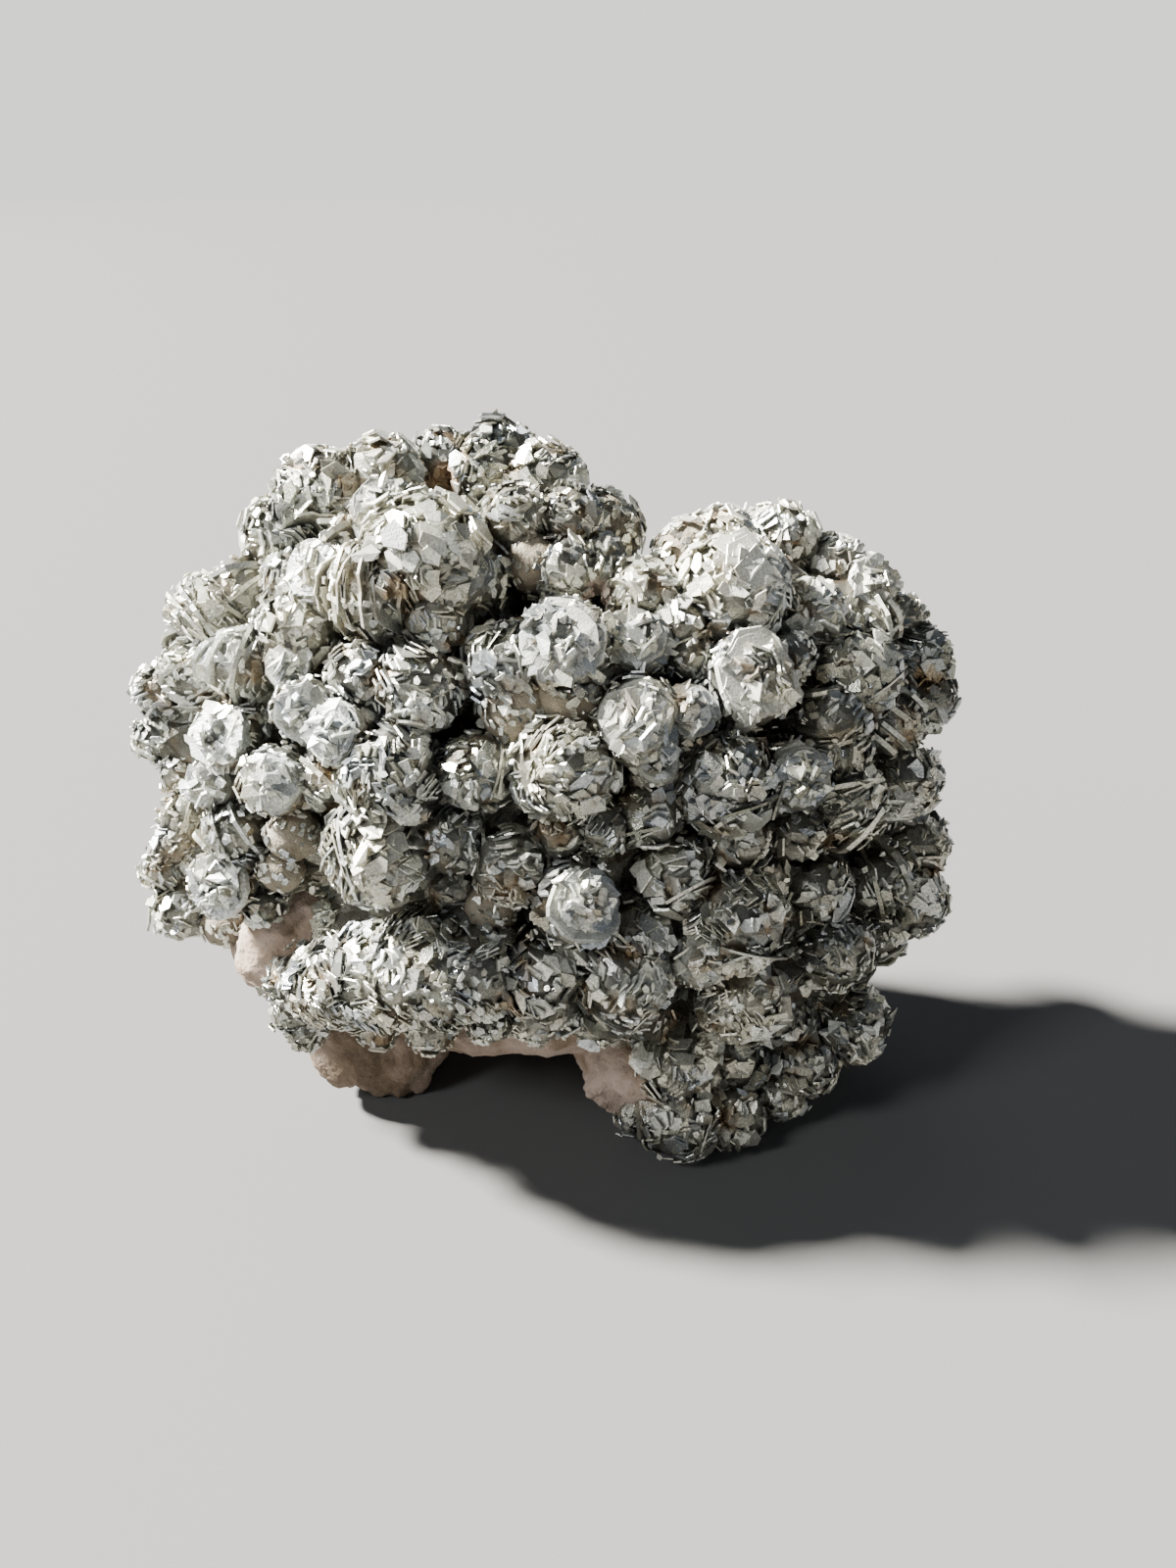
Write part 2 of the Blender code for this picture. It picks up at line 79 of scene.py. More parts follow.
# Each knob: the pixel its middle is seen at, its radius in mm, how far it stands forward of the
# body form in mm, and its habit, which says how its plates lie
KNOBS = {
    "upper_left": """
        435 572 8.2 5 disc, 385 602 6.4 5 stack, 335 588 5.0 4 disc, 398 538 5.6 5 disc,
        480 590 4.6 4 disc, 445 628 4.5 4 scales, 330 512 7.0 1 blades, 392 488 5.8 1 blades,
        288 546 5.2 -1 scales, 300 592 4.2 0 scales, 448 472 4.6 -3 scales, 362 560 4.6 4 stack
    """,
    "top": """
        508 478 6.3 0 scales, 558 494 5.4 0 scales, 528 532 5.0 3 blades, 582 532 4.8 2 blades,
        608 546 6.0 -4 smooth, 575 582 4.6 2 scales, 545 575 3.8 2 smooth, 612 580 3.8 0 disc
    """,
    "left": """
        215 628 5.8 0 stack, 250 605 4.6 0 stack, 205 685 5.8 1 stack, 252 678 5.0 3 stack,
        168 705 4.2 -2 scales, 163 752 3.6 -2 blades, 187 788 3.4 -1 scales, 305 640 5.4 2 scales,
        297 682 3.4 3 disc, 236 755 4.8 3 disc, 285 797 4.6 5 disc, 222 800 3.6 3 disc,
        312 722 4.2 5 disc, 352 748 4.6 5 disc, 190 832 3.8 0 stack, 238 848 4.2 3 stack,
        172 885 4.0 -1 blades, 235 898 5.0 3 disc, 190 925 4.6 -1 scales, 235 938 4.0 1 smooth,
        300 850 3.6 2 smooth, 288 888 3.0 1 smooth, 268 925 2.8 1 scales, 182 862 3.8 0 scales
    """,
    "middle_left": """
        368 690 4.4 4 scales, 430 702 5.6 4 blades, 400 792 6.6 5 blades, 487 786 4.8 4 blades,
        388 868 6.9 5 blades, 458 856 4.6 3 blades, 462 905 3.4 1 scales, 328 795 3.6 3 stack
    """,
    "lower_left": """
        303 1000 4.4 4 roll, 331 999 5.9 5 roll, 361 997 6.8 6 roll, 393 993 7.3 6 roll,
        425 989 7.6 6 roll, 457 988 7.3 6 roll, 485 990 6.5 6 roll, 470 945 3.8 2 scales,
        385 1048 3.0 3 scales, 440 1050 3.4 4 scales, 500 1040 3.2 6 scales, 548 1038 3.5 6 scales,
        577 1030 3.4 6 scales, 300 1030 3.5 4 scales, 313 1052 2.9 4 scales
    """,
    "centre": """
        520 678 5.4 4 scales, 577 662 6.2 6 disc, 530 722 4.8 3 smooth, 580 705 4.8 4 smooth,
        575 784 6.6 6 blades, 652 738 6.0 6 disc, 702 730 3.8 6 disc, 668 778 3.4 5 disc,
        648 662 4.8 3 disc, 655 606 4.6 2 scales, 660 828 4.6 3 blades, 618 842 3.8 3 blades,
        570 850 3.6 3 blades, 688 892 5.2 2 scales, 522 884 4.8 4 blades, 587 922 5.6 6 disc,
        500 925 3.8 1 smooth, 550 992 6.0 5 blades, 636 1000 6.4 5 blades, 650 950 4.6 3 scales,
        608 1034 4.2 5 scales
    """,
    "upper_right": """
        700 567 4.6 -2 smooth, 745 602 7.2 3 scales, 692 640 4.0 3 scales, 702 672 3.0 4 blades,
        760 694 6.2 5 disc, 803 672 3.4 4 blades, 735 557 5.2 -2 scales, 793 552 5.4 -2 scales,
        850 580 4.6 -2 scales, 830 626 4.4 3 blades, 880 598 4.4 0 disc, 886 634 4.2 2 stack
    """,
    "right": """
        868 690 6.4 3 scales, 918 632 3.8 -3 scales, 930 674 5.4 -2 scales, 936 715 5.2 -1 scales,
        905 735 5.0 2 stack, 850 738 5.0 4 stack, 807 792 4.8 6 disc, 742 800 6.2 6 blades,
        860 818 5.6 4 stack, 852 768 4.2 4 stack, 916 795 5.6 1 smooth, 750 856 4.4 3 smooth,
        815 848 4.2 3 smooth
    """,
    "lower_right": """
        934 860 5.0 -4 scales, 926 915 5.6 -3 scales, 893 895 5.4 0 stack, 895 950 4.4 -1 scales,
        752 938 6.8 5 blades, 757 1018 6.0 5 blades, 850 968 5.8 4 blades, 715 975 4.4 4 disc,
        800 1040 4.4 2 scales, 830 905 5.0 0 scales, 770 893 4.2 0 scales, 866 1042 5.8 -1 scales,
        818 1080 5.4 1 scales, 690 1080 6.8 5 blades, 750 1078 5.0 2 scales, 795 1112 4.4 -1 scales
    """,
}

# Knobs that the cluster stands on: the pixel and the radius in mm
FEET = [(693, 1138, 6.0), (745, 1134, 5.0), (658, 1130, 4.2)]
FOOT_WEAR = 0.5 * MM

# Knobs that wrap round the rim and onto the back: the count, how far round to the back as a
# share of a quarter turn, the radius in mm, and the clear angles left at the bottom
BACK_RINGS = [
    (19, 0.20, 7.2, 50),
    (15, 0.52, 6.6, 62),
]
BACK_SEED = 11

# The dip between the two upper lobes, kept clear: its left, right and lowest pixel
NOTCH = (585, 715, 610)

# Each habit: how many plates it has, as a share of the full cover, how steeply they stand on the
# knob in radians, and how they measure in mm: their half length, half width and thickness
Habit = namedtuple("Habit", "cover slope length width thick")
HABITS = {
    "blades": Habit(1.0, (0.25, 1.25), (0.8, 2.1), (0.9, 1.9), (0.14, 0.34)),
    "scales": Habit(0.9, (0.10, 0.95), (0.9, 2.3), (0.9, 1.9), (0.16, 0.36)),
    "disc": Habit(0.7, (0.20, 1.10), (0.8, 1.9), (0.8, 1.5), (0.16, 0.32)),
    "stack": Habit(0.75, (0.30, 1.20), (0.9, 2.0), (0.8, 1.5), (0.16, 0.34)),
    "smooth": Habit(1.1, (0.05, 0.50), (0.7, 1.5), (0.7, 1.2), (0.12, 0.24)),
    "roll": Habit(1.0, (0.20, 1.05), (0.6, 1.5), (0.6, 1.3), (0.12, 0.26)),
    "back": Habit(0.78, (0.15, 1.15), (0.9, 2.2), (0.8, 1.8), (0.16, 0.38)),
}
# Plates in a group, as the count of groups reckons them
GROUP_PLATES = 3.6
# Small plates strewn over a knob, for each square millimetre of its radius
GRIT, SPARSE_GRIT = 1.3, 0.8
# Rows and columns of a knob's dome, and of one with smooth skin
DOME_GRID, SKIN_GRID = (14, 22), (24, 40)
# Disc knobs larger than this carry fans of petals and no terraces
ROSETTE_RADIUS = 6.8 * MM
# Corners of the large plates: terraces, stacked rims and slabs
RIM_CORNERS = 22
# Painted light and shade: how much paler or darker each lobe's plates are painted
LOBE_LIGHT_AND_SHADE = {
    "upper_right": 0.55,
    "left": 0.20,
    "top": -0.40,
    "lower_left": -0.20,
    "right": -0.35,
    "lower_right": -0.22,
}

# Deep crevices, painted as shade: both ends and half the width, in pixels of the photograph, and how
# far back
CREVICES = [(742, 884, 812, 879, 6), (812, 879, 892, 872, 7), (300, 866, 312, 890, 5)]
CREVICE_BACK = 12 * MM
# Painted shade as depth: of a bare dome, of the ground between knobs, of plates on it, of deep crevices
DOME_PAINTED_SHADE, GROUND_PAINTED_SHADE, BETWEEN_PAINTED_SHADE, CREVICE_PAINTED_SHADE = 0.85, 0.9, 0.4, 1.3
# Plates that fill the gaps between the knobs: how many groups, and how near a knob they start
BETWEEN_GROUPS = 3600
BETWEEN_REACH = 0.97
# Seeds of the random draws: the first lobe's, with the others after it, and the ground's
LOBE_SEED, GROUND_SEED = 100, 77
# A plate this near another knob's middle, in radii, or this deep in the core is left out
BURIED_IN_KNOB = 0.91
BURIED_IN_CORE = 0.95
# A distance, in radii, that counts as far from every knob, and the points measured at a time
FAR_AWAY = 9.0
BATCH = 20000

# Bare spots between the knobs: the pixel, forward in mm, radius in mm and the finish that shows
BARE_SPOTS = [(605, 607, 1.5, 2.1, "marl"), (458, 492, 0.5, 2.6, "clay")]

# The studio: half the floor's width, how far it lies under the cluster, the sky low down, high up
# and as the camera sees it, the sun's spread, what the lamps face and the camera's film in mm
FLOOR_REACH = 60.0
FLOOR_DROP = 0.0002
LOW_SKY, HIGH_SKY, SEEN_SKY = (1.28, 1.265, 1.235), (0.055, 0.07, 0.095), (1.36, 1.345, 1.315)
SUN_SPREAD = math.radians(7)
LAMP_TARGET = np.array([0, 0, 0.045])
FILM_SIZE = 36
# Shader nodes are set out in columns of this many, this far apart
NODE_ROWS, NODE_GAP = 5, 260


def unit(vectors):
    """Vectors of length one along the last axis."""
    return vectors / np.maximum(np.linalg.norm(vectors, axis=-1, keepdims=True), 1e-12)


def square_to(vectors, directions):
    """Each vector without its part along a direction, at length one."""
    return unit(vectors - directions * np.sum(vectors * directions, axis=-1, keepdims=True))


def turned(first, second, angle):
    """The first direction times the angle's cosine plus the second times its sine."""
    return first * np.cos(angle)[:, None] + second * np.sin(angle)[:, None]


def together(*parts):
    """Arrays set side by side along a new last axis."""
    return np.stack(parts, axis=-1)


def lattice_value(cells, seed):
    """A repeatable number from 0 to 1 for each whole-number lattice point."""
    mixed = cells[..., 0] * 374761393 + cells[..., 1] * 668265263 + cells[..., 2] * 2147483647
    mixed = (mixed + seed * 1274126177) & 0xFFFFFFFF
    mixed = ((mixed ^ (mixed >> 13)) * 1103515245) & 0xFFFFFFFF
    return ((mixed ^ (mixed >> 16)) & 0xFFFF) / 65535.0


def value_noise(points, scale, seed=0):
    """Smooth noise from -1 to 1: lattice values blended along each axis with 3t^2 - 2t^3."""
    grid = points / scale
    cell = np.floor(grid).astype(np.int64)
    part = grid - cell
    part = part * part * (3 - 2 * part)
    total = np.zeros(points.shape[:-1])
    for step in np.ndindex(2, 2, 2):
        corner = np.array(step)
        weight = np.prod(np.where(corner, part, 1 - part), axis=-1)
        total += weight * lattice_value(cell + corner, seed)
    return total * 2 - 1


def view_axes():
    """The photograph's eye, forward and up directions."""
    forward = np.array([0.0, math.cos(VIEW_PITCH), -math.sin(VIEW_PITCH)])
    up = np.array([0.0, math.sin(VIEW_PITCH), math.cos(VIEW_PITCH)])
    return VIEW_TARGET - forward * VIEW_DISTANCE, forward, up


def sight_line(seen_x, seen_y):
    """The photograph's eye and the direction in which one of its pixels looks."""
    eye, forward, up = view_axes()
    across = (seen_x - PICTURE_SIZE[0] / 2) / FOCAL_LENGTH_PIXELS
    above = (PICTURE_SIZE[1] / 2 - seen_y) / FOCAL_LENGTH_PIXELS
    return eye, unit(forward + np.array([across, 0.0, 0.0]) + up * above)


def seen_at(points):
    """The pixel at which the photograph shows each point."""
    eye, forward, up = view_axes()
    ray = points - eye
    scale = FOCAL_LENGTH_PIXELS / (ray @ forward)
    return together(PICTURE_SIZE[0] / 2 + ray[..., 0] * scale, PICTURE_SIZE[1] / 2 - (ray @ up) * scale)


def tipped(points, angle):
    """Points turned about the X axis. FORM_LEAN sets the leaning lens upright."""
    c, s = math.cos(angle), math.sin(angle)
    return points @ np.array([[1, 0, 0], [0, c, s], [0, -s, c]])


def on_form(seen_x, seen_y, forward_mm):
    """Where a line of sight meets the leaning lens, moved towards the viewer by forward_mm."""
    eye, direction = sight_line(seen_x, seen_y)
    start = tipped(eye - FORM_CENTRE, FORM_LEAN) / FORM_HALF
    heading = tipped(direction, FORM_LEAN) / FORM_HALF
    square = heading @ heading
    half = heading @ start
    left = half * half - square * (start @ start - 1)
    reach = (-half - math.sqrt(max(left, 0.0))) / square
    return eye + direction * (reach - forward_mm * MM)


def on_floor(seen_x, seen_y, radius):
    """The middle of a knob that is seen at a pixel and rests on the floor."""
    eye, direction = sight_line(seen_x, seen_y)
    return eye + direction * ((radius - FOOT_WEAR - eye[2]) / direction[2])


def back_spots():
    """The centre and radius of every knob on the rim and the back, ring by ring."""
    scatter = random.Random(BACK_SEED)
    spots = []
    for count, turn_share, radius_mm, clear_degrees in BACK_RINGS:
        for number in range(count):
            around = math.tau * (number + 0.5) / count + scatter.uniform(-0.07, 0.07)
            radius = radius_mm * scatter.uniform(0.82, 1.15) * MM
            behind = (turn_share + scatter.uniform(-0.06, 0.06)) * math.pi / 2
            from_bottom = abs(math.degrees((around + math.pi / 2) % math.tau))
            if min(from_bottom, 360 - from_bottom) < clear_degrees:
                continue
            ring = math.cos(behind)
            local = np.array([math.cos(around) * ring, math.sin(behind), math.sin(around) * ring])
            spot = FORM_CENTRE + tipped(local * FORM_HALF, -FORM_LEAN)
            seen_x, seen_y = seen_at(spot)
            if NOTCH[0] < seen_x < NOTCH[1] and seen_y < NOTCH[2]:
                continue
            spots.append((spot, radius))
    return spots


def all_knobs():
    """Every knob as its lobe, centre, radius and habit. Those on the right have no bare skin."""
    knobs = []
    for lobe, table in KNOBS.items():
        for row in table.split(","):
            *numbers, habit = row.split()
            seen_x, seen_y, radius_mm, forward_mm = map(float, numbers)
            if (lobe, habit) == ("right", "smooth"):
                habit = "scales"
            knobs.append((lobe, on_form(seen_x, seen_y, forward_mm), radius_mm * MM, habit))
    for seen_x, seen_y, radius_mm in FEET:
        centre = on_floor(seen_x, seen_y, radius_mm * MM)
        knobs.append(("lower_right", centre, radius_mm * MM, "scales"))
    for centre, radius in back_spots():
        knobs.append(("back", centre, radius, "back"))
    return knobs


ALL = all_knobs()
CENTRES = np.array([knob[1] for knob in ALL])
RADII = np.array([knob[2] for knob in ALL])
# Each knob is a mass of its own, apart from those that make up the long roll
MASSES = np.array([-1 if knob[3] == "roll" else number for number, knob in enumerate(ALL)])


def fibonacci_directions(count, dice):
    """Evenly spread unit directions: equal steps in height, golden-angle steps around."""
    number = np.arange(count)
    height = 1 - 2 * (number + 0.5) / count
    around = number * math.pi * (3 - math.sqrt(5)) + dice.uniform(0, math.tau)
    ring = np.sqrt(1 - height * height)
    spread = together(ring * np.cos(around), ring * np.sin(around), height)
    turn = np.linalg.qr(dice.normal(size=(3, 3)))[0]
    jitter = dice.normal(scale=0.45 / math.sqrt(max(count, 1)), size=spread.shape)
    return unit(spread @ turn + jitter)


def tangents(normals):
    """Two unit directions square to each normal and to each other."""
    helper = np.where(np.abs(normals[..., 2:3]) < 0.9, [0.0, 0.0, 1.0], [1.0, 0.0, 0.0])
    first = unit(np.cross(normals, helper))
    return first, np.cross(normals, first)


def group_steps(many):
    """For groups of so many plates: each plate's group, and its steps from the group's middle."""
    own = np.repeat(np.arange(len(many)), many)
    return own, np.arange(len(own)) - np.repeat(np.cumsum(many) - many, many) - (many[own] - 1) / 2


class Plates:
    """Rows of crystal plates: middle, face direction, long direction, half sizes and shades."""

    def __init__(self):
        self.rows = {key: [] for key in ("middle", "facing", "along", "sizes", "shade", "knob")}

    def add(self, middle, facing, along, sizes, shade, knob):
        along = square_to(along, facing)
        values = (middle, facing, along, sizes, shade, np.full(len(middle), knob))
        for key, value in zip(self.rows, values):
            self.rows[key].append(value)

    def joined(self):
        return {key: np.concatenate(value) for key, value in self.rows.items()}


def plate_surfaces(plates, corners, dice, curl):
    """Closed plates, as points and triangles.

    A plate's rim is an ellipse of a few corners whose distances are shaken, or for the large ones
    waved by two sines of the angle. It is drawn once at the full size for the lower rim and once a
    little smaller for the upper, half the thickness below and above, and both rims are closed by
    a fan of triangles. A curl lifts the rim by the square of the distance along the plate. Shade is
    painted at the plate's base: the shade's green rises to 0.9 from a knob's surface to 16% below it.
    """
    middle, facing, along = (plates[key][:, None] for key in ("middle", "facing", "along"))
    count = len(middle)
    start = dice.uniform(0, math.tau, (count, 1))
    angle = start + np.arange(corners) * math.tau / corners
    angle = angle + dice.uniform(-0.3, 0.3, (count, corners)) * 6 / corners
    shake = dice.uniform(0.68, 1.16, (count, corners))
    if corners == RIM_CORNERS:
        shake = 0.98 + 0.035 * np.sin(2 * angle + start) + 0.03 * np.sin(3 * angle - 2 * start)
        shake = shake + dice.normal(scale=0.04, size=shake.shape)
    long_half, wide_half, thick_half = (plates["sizes"][:, i, None] for i in range(3))
    x = np.cos(angle) * long_half * shake
    y = np.sin(angle) * wide_half * shake
    lift = dice.normal(scale=0.6, size=(count, 1)) * curl * x * x / long_half
    flat = middle + x[..., None] * along + y[..., None] * np.cross(facing, along)
    flat = flat + lift[..., None] * facing
    inner = middle + (flat - middle) * 0.95
    up = facing * thick_half[..., None]
    points = np.concatenate([flat - up, inner + up], axis=1)
    ring = np.arange(corners)
    after = (ring + 1) % corners
    inside = np.arange(1, corners - 1)
    first = np.zeros_like(inside)
    pattern = np.concatenate(
        [
            together(ring, after, after + corners),
            together(ring, after + corners, ring + corners),
            together(inside + 1, inside, first),
            together(inside, inside + 1, first) + corners,
        ]
    )
    triangles = pattern[None] + (np.arange(count) * 2 * corners)[:, None, None]
    shades = np.repeat(plates["shade"][:, None], 2 * corners, axis=1)
    knob = plates["knob"]
    reach = np.linalg.norm(points - CENTRES[knob, None], axis=-1) / RADII[knob, None]
    # Painted shade where a plate sinks below its knob's surface
    sunk = np.clip((1.0 - reach) / 0.16, 0, 1)
    shades[..., 1] = np.maximum(shades[..., 1], 0.9 * sunk)
    return points.reshape(-1, 3), triangles.reshape(-1, 3), shades.reshape(-1, 4)


def grid_ball(centre, half, rows, columns, swell):
    """A closed ball on a grid of height and angle, its points moved out by swell(direction)."""
    height = np.linspace(0, math.pi, rows + 1)[1:-1]
    around = np.arange(columns) * math.tau / columns
    h, a = np.meshgrid(height, around, indexing="ij")
    directions = together(np.sin(h) * np.cos(a), np.sin(h) * np.sin(a), np.cos(h))
    directions = np.concatenate([directions.reshape(-1, 3), [[0, 0, 1], [0, 0, -1]]])
    points = centre + directions * half * swell(directions)[:, None]
    row = np.arange(rows - 2)[:, None] * columns
    column = np.arange(columns)[None]
    beside = (column + 1) % columns
    a0, a1 = (row + column).ravel(), (row + beside).ravel()
    b0, b1 = a0 + columns, a1 + columns
    top, bottom = (rows - 1) * columns, (rows - 1) * columns + 1
    last = (rows - 2) * columns
    first_ring, next_first = column.ravel(), beside.ravel()
    triangles = np.concatenate(
        [
            together(a0, b0, b1),
            together(a0, b1, a1),
            together(np.full(columns, top), first_ring, next_first),
            together(np.full(columns, bottom), last + next_first, last + first_ring),
        ]
    )
    return points, triangles


def put_in(name, data):
    """A new object in the scene, for a mesh, a lamp or a camera."""
    made = bpy.data.objects.new(name, data)
    bpy.context.scene.collection.objects.link(made)
    return made


def mesh_piece(name, chunks, material, smooth=False):
    """One object from chunks of points, triangles and shades, moved to where the solids stand."""
    points = np.concatenate([chunk[0] for chunk in chunks]) + CENTRING
    points[:, 2] = np.maximum(points[:, 2], 0.0)
    offsets = np.cumsum([0] + [len(chunk[0]) for chunk in chunks[:-1]])
    triangles = np.concatenate([chunk[1] + offset for chunk, offset in zip(chunks, offsets)])
    shades = np.concatenate([chunk[2] for chunk in chunks])
    mesh = bpy.data.meshes.new(name)
    mesh.vertices.add(len(points))
    mesh.vertices.foreach_set("co", points.astype(np.float32).ravel())
    mesh.loops.add(triangles.size)
    mesh.loops.foreach_set("vertex_index", triangles.astype(np.int32).ravel())
    mesh.polygons.add(len(triangles))
    mesh.polygons.foreach_set("loop_start", np.arange(0, triangles.size, 3, dtype=np.int32))
    mesh.polygons.foreach_set("use_smooth", np.full(len(triangles), smooth))
    tone = mesh.attributes.new("tone", "FLOAT_COLOR", "POINT")
    tone.data.foreach_set("color", shades.astype(np.float32).ravel())
    mesh.update(calc_edges=True)
    mesh.materials.append(material)
    return put_in(name, mesh)


def crystal_piece(name, chunks, smooth=False):
    """A piece of the crystal crust, in the finish of the plates or of the smooth undersides."""
    piece = mesh_piece(name, chunks, crystal_material(smooth), smooth)
    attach(piece, "root")
    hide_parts("marcasite_crystals")


def triples(items, name, kind):
    """A property of three numbers, read from every item of a mesh."""
    values = np.empty(len(items) * 3, dtype=kind)
    items.foreach_get(name, values)
    return values.reshape(-1, 3)


def node_copy(name, levels):
    """A copy of a solid's mesh, its corners merged and its facets divided, as numpy arrays."""
    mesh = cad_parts[name].data.copy()
    drawing = bmesh.new()
    drawing.from_mesh(mesh)
    bmesh.ops.remove_doubles(drawing, verts=drawing.verts, dist=1e-6)
    drawing.to_mesh(mesh)
    drawing.free()
    holder = put_in(name + "_finer", mesh)
    divide = holder.modifiers.new("divide", "SUBSURF")
    divide.levels = divide.render_levels = levels
    finer = holder.evaluated_get(bpy.context.evaluated_depsgraph_get()).to_mesh()
    finer.calc_loop_triangles()
    points = triples(finer.vertices, "co", float) - CENTRING
    normals = triples(finer.vertices, "normal", float)
    triangles = triples(finer.loop_triangles, "vertices", np.int32)
    holder.to_mesh_clear()
    bpy.data.objects.remove(holder)
    return points, normals, triangles


def nearest_knob(points, own, masses):
    """The least distance from each point to a knob of another mass, in that knob's radii."""
    nearest = np.full(len(points), FAR_AWAY)
    for start in range(0, len(points), BATCH):
        part = slice(start, start + BATCH)
        ratio = np.linalg.norm(points[part, None] - CENTRES, axis=-1) / RADII
        ratio[masses[own[part], None] == masses] = FAR_AWAY
        nearest[part] = ratio.min(axis=1)
    return nearest


def crevice_share(points, own):
    """How deep each point lies between knobs, from 0 in the open to 1 inside a neighbour."""
    return np.clip((1.35 - nearest_knob(points, own, MASSES)) / 0.45, 0, 1)


def crevice_band(points):
    """Which points are seen inside one of the deep CREVICES: nearer its middle line than half its
    width.
    """
    seen = seen_at(points)
    inside = np.zeros(len(points), dtype=bool)
    for x0, y0, x1, y1, half in CREVICES:
        line = np.array([x1 - x0, y1 - y0], dtype=float)
        along = np.clip((seen - [x0, y0]) @ line / (line @ line), 0, 1)
        inside |= np.linalg.norm(seen - [x0, y0] - along[:, None] * line, axis=-1) < half
    return inside & (points[:, 1] < CREVICE_BACK)


def visible_plates(rows):
    """Drops plates buried in a neighbour, the core or the floor, and paints each one's depth as shade.
    """
    middle, knob = rows["middle"], rows["knob"]
    rows["shade"][:, 1] = crevice_share(middle, knob)
    buried = nearest_knob(middle, knob, np.arange(len(RADII))) < BURIED_IN_KNOB
    from_core = np.sum((tipped(middle - CORE_CENTRE, FORM_LEAN) / CORE_HALF) ** 2, axis=-1)
    buried |= from_core < BURIED_IN_CORE * BURIED_IN_CORE
    buried |= middle[:, 2] < 0.1 * MM
    return keep_rows(rows, ~(buried | crevice_band(middle)))


def keep_rows(rows, mask):
    """The plates that a mask keeps."""
    return {key: value[mask] for key, value in rows.items()}


def paint_lobe_light_and_shade(rows, lobe):
    """Paints a lobe's light or shade: its plates move to the pale or the dark end of the finish."""
    rows["shade"][:, 0] = np.clip(rows["shade"][:, 0] + LOBE_LIGHT_AND_SHADE.get(lobe, 0.0), 0, 1)


def knob_axes(knob, dice):
    """The direction a knob's face looks in, and two directions square to it."""
    lobe, centre = knob[0], knob[1]
    away = unit(centre - FORM_CENTRE)
    outward = away if lobe == "back" else unit(unit(view_axes()[0] - centre) + away * 0.5)
    outward = unit(outward + dice.normal(scale=0.12, size=3))
    side = tangents(outward)[0]
    swing = dice.uniform(0, math.pi)
    side = side * math.cos(swing) + np.cross(outward, side) * math.sin(swing)
    return outward, side, np.cross(outward, side)


def shades_of(own, blue):
    """Plate shades: own in red, no painted depth shade yet, blue tarnish and painted sky in blue."""
    return together(np.clip(own, 0, 1), np.zeros_like(own), blue, np.ones_like(own))


def lay_groups(plates, knob, number, axes, density, dice):
    """Lays groups of nearly parallel plates over a knob, each group leaning its own way."""
    _, centre, radius, habit = knob
    outward, side, _ = axes
    draw, shaken, sizes = dice.uniform, dice.normal, HABITS[habit]
    groups = max(4, int(density * sizes.cover * (radius / MM) ** 2 / GROUP_PLATES))
    spot = fibonacci_directions(groups, dice)
    turn = value_noise(spot + number, 0.7, number) * math.pi + shaken(scale=0.8, size=groups)
    sweep = turned(*tangents(spot), turn)
    if habit == "stack":
        sweep = unit(side - spot * (spot @ side)[:, None])
    slope = draw(*sizes.slope, groups)
    scale = min(1.35, max(0.62, radius / (5.5 * MM))) * draw(0.6, 1.25, groups)
    length = draw(*sizes.length, groups) * scale
    width = draw(*sizes.width, groups) * scale
    thick = draw(*sizes.thick, groups)
    gap = draw(1.4, 3.0, groups) * thick / np.maximum(np.sin(slope), 0.35)
    own, step = group_steps(dice.integers(1, 8, groups))
    count = len(own)
    shift = (step * gap[own] + shaken(scale=0.2, size=count)) * MM / radius
    aside = np.cross(spot[own], sweep[own]) * shaken(scale=0.09, size=count)[:, None]
    direction = unit(spot[own] + sweep[own] * shift[:, None] + aside)
    sweep = square_to(sweep[own], direction)
    slope = slope[own] + shaken(scale=0.12, size=count)
    facing = unit(turned(direction, sweep, slope))
    along = np.cross(facing, direction + 0.01 * sweep)
    along = along + 0.3 * facing[:, [1, 2, 0]] * shaken(size=count)[:, None]
    measured = together(length[own], width[own], thick[own] / 2)
    measured = measured * draw(0.7, 1.12, measured.shape) * MM
    stand = (draw(-0.35, 0.6, groups)[own] + draw(-0.15, 0.2, count)) * MM
    rise = radius + stand - measured[:, 1] * np.sin(slope)
    tone = draw(0, 1, groups)[own] + shaken(scale=0.2, size=count)
    shade = shades_of(tone, draw(0, 1, groups)[own] ** 3)
    kept = np.ones(count, dtype=bool)
    if habit == "disc":
        kept = direction @ outward < 0.70
    if habit == "smooth":
        kept = direction[:, 2] - direction[:, 1] * 0.3 > draw(-0.9, 0.3, count)
    middle = centre + direction * rise[:, None]
    plates.add(middle[kept], facing[kept], along[kept], measured[kept], shade[kept], number)


def lay_grit(plates, knob, number, axes, dice):
    """Strews small plates at any angle over the open side of a knob."""
    _, centre, radius, habit = knob
    draw = dice.uniform
    count = int((SPARSE_GRIT if habit in ("disc", "smooth") else GRIT) * (radius / MM) ** 2)
    direction = unit(dice.normal(size=(count, 3)) + axes[0] * 0.9)
    facing = unit(direction + 0.55 * dice.normal(size=direction.shape))
    measured = draw((0.35, 0.25, 0.06), (1.0, 0.6, 0.14), (count, 3)) * MM
    middle = centre + direction * (radius + draw(-0.3, 0.3, (count, 1)) * MM)
    shade = shades_of(draw(0, 1, count), draw(0, 1, count) ** 4)
    kept = (direction @ axes[0] < 0.72) | (habit != "disc")
    values = (middle, facing, np.cross(facing, direction), measured, shade)
    plates.add(*(value[kept] for value in values), number)


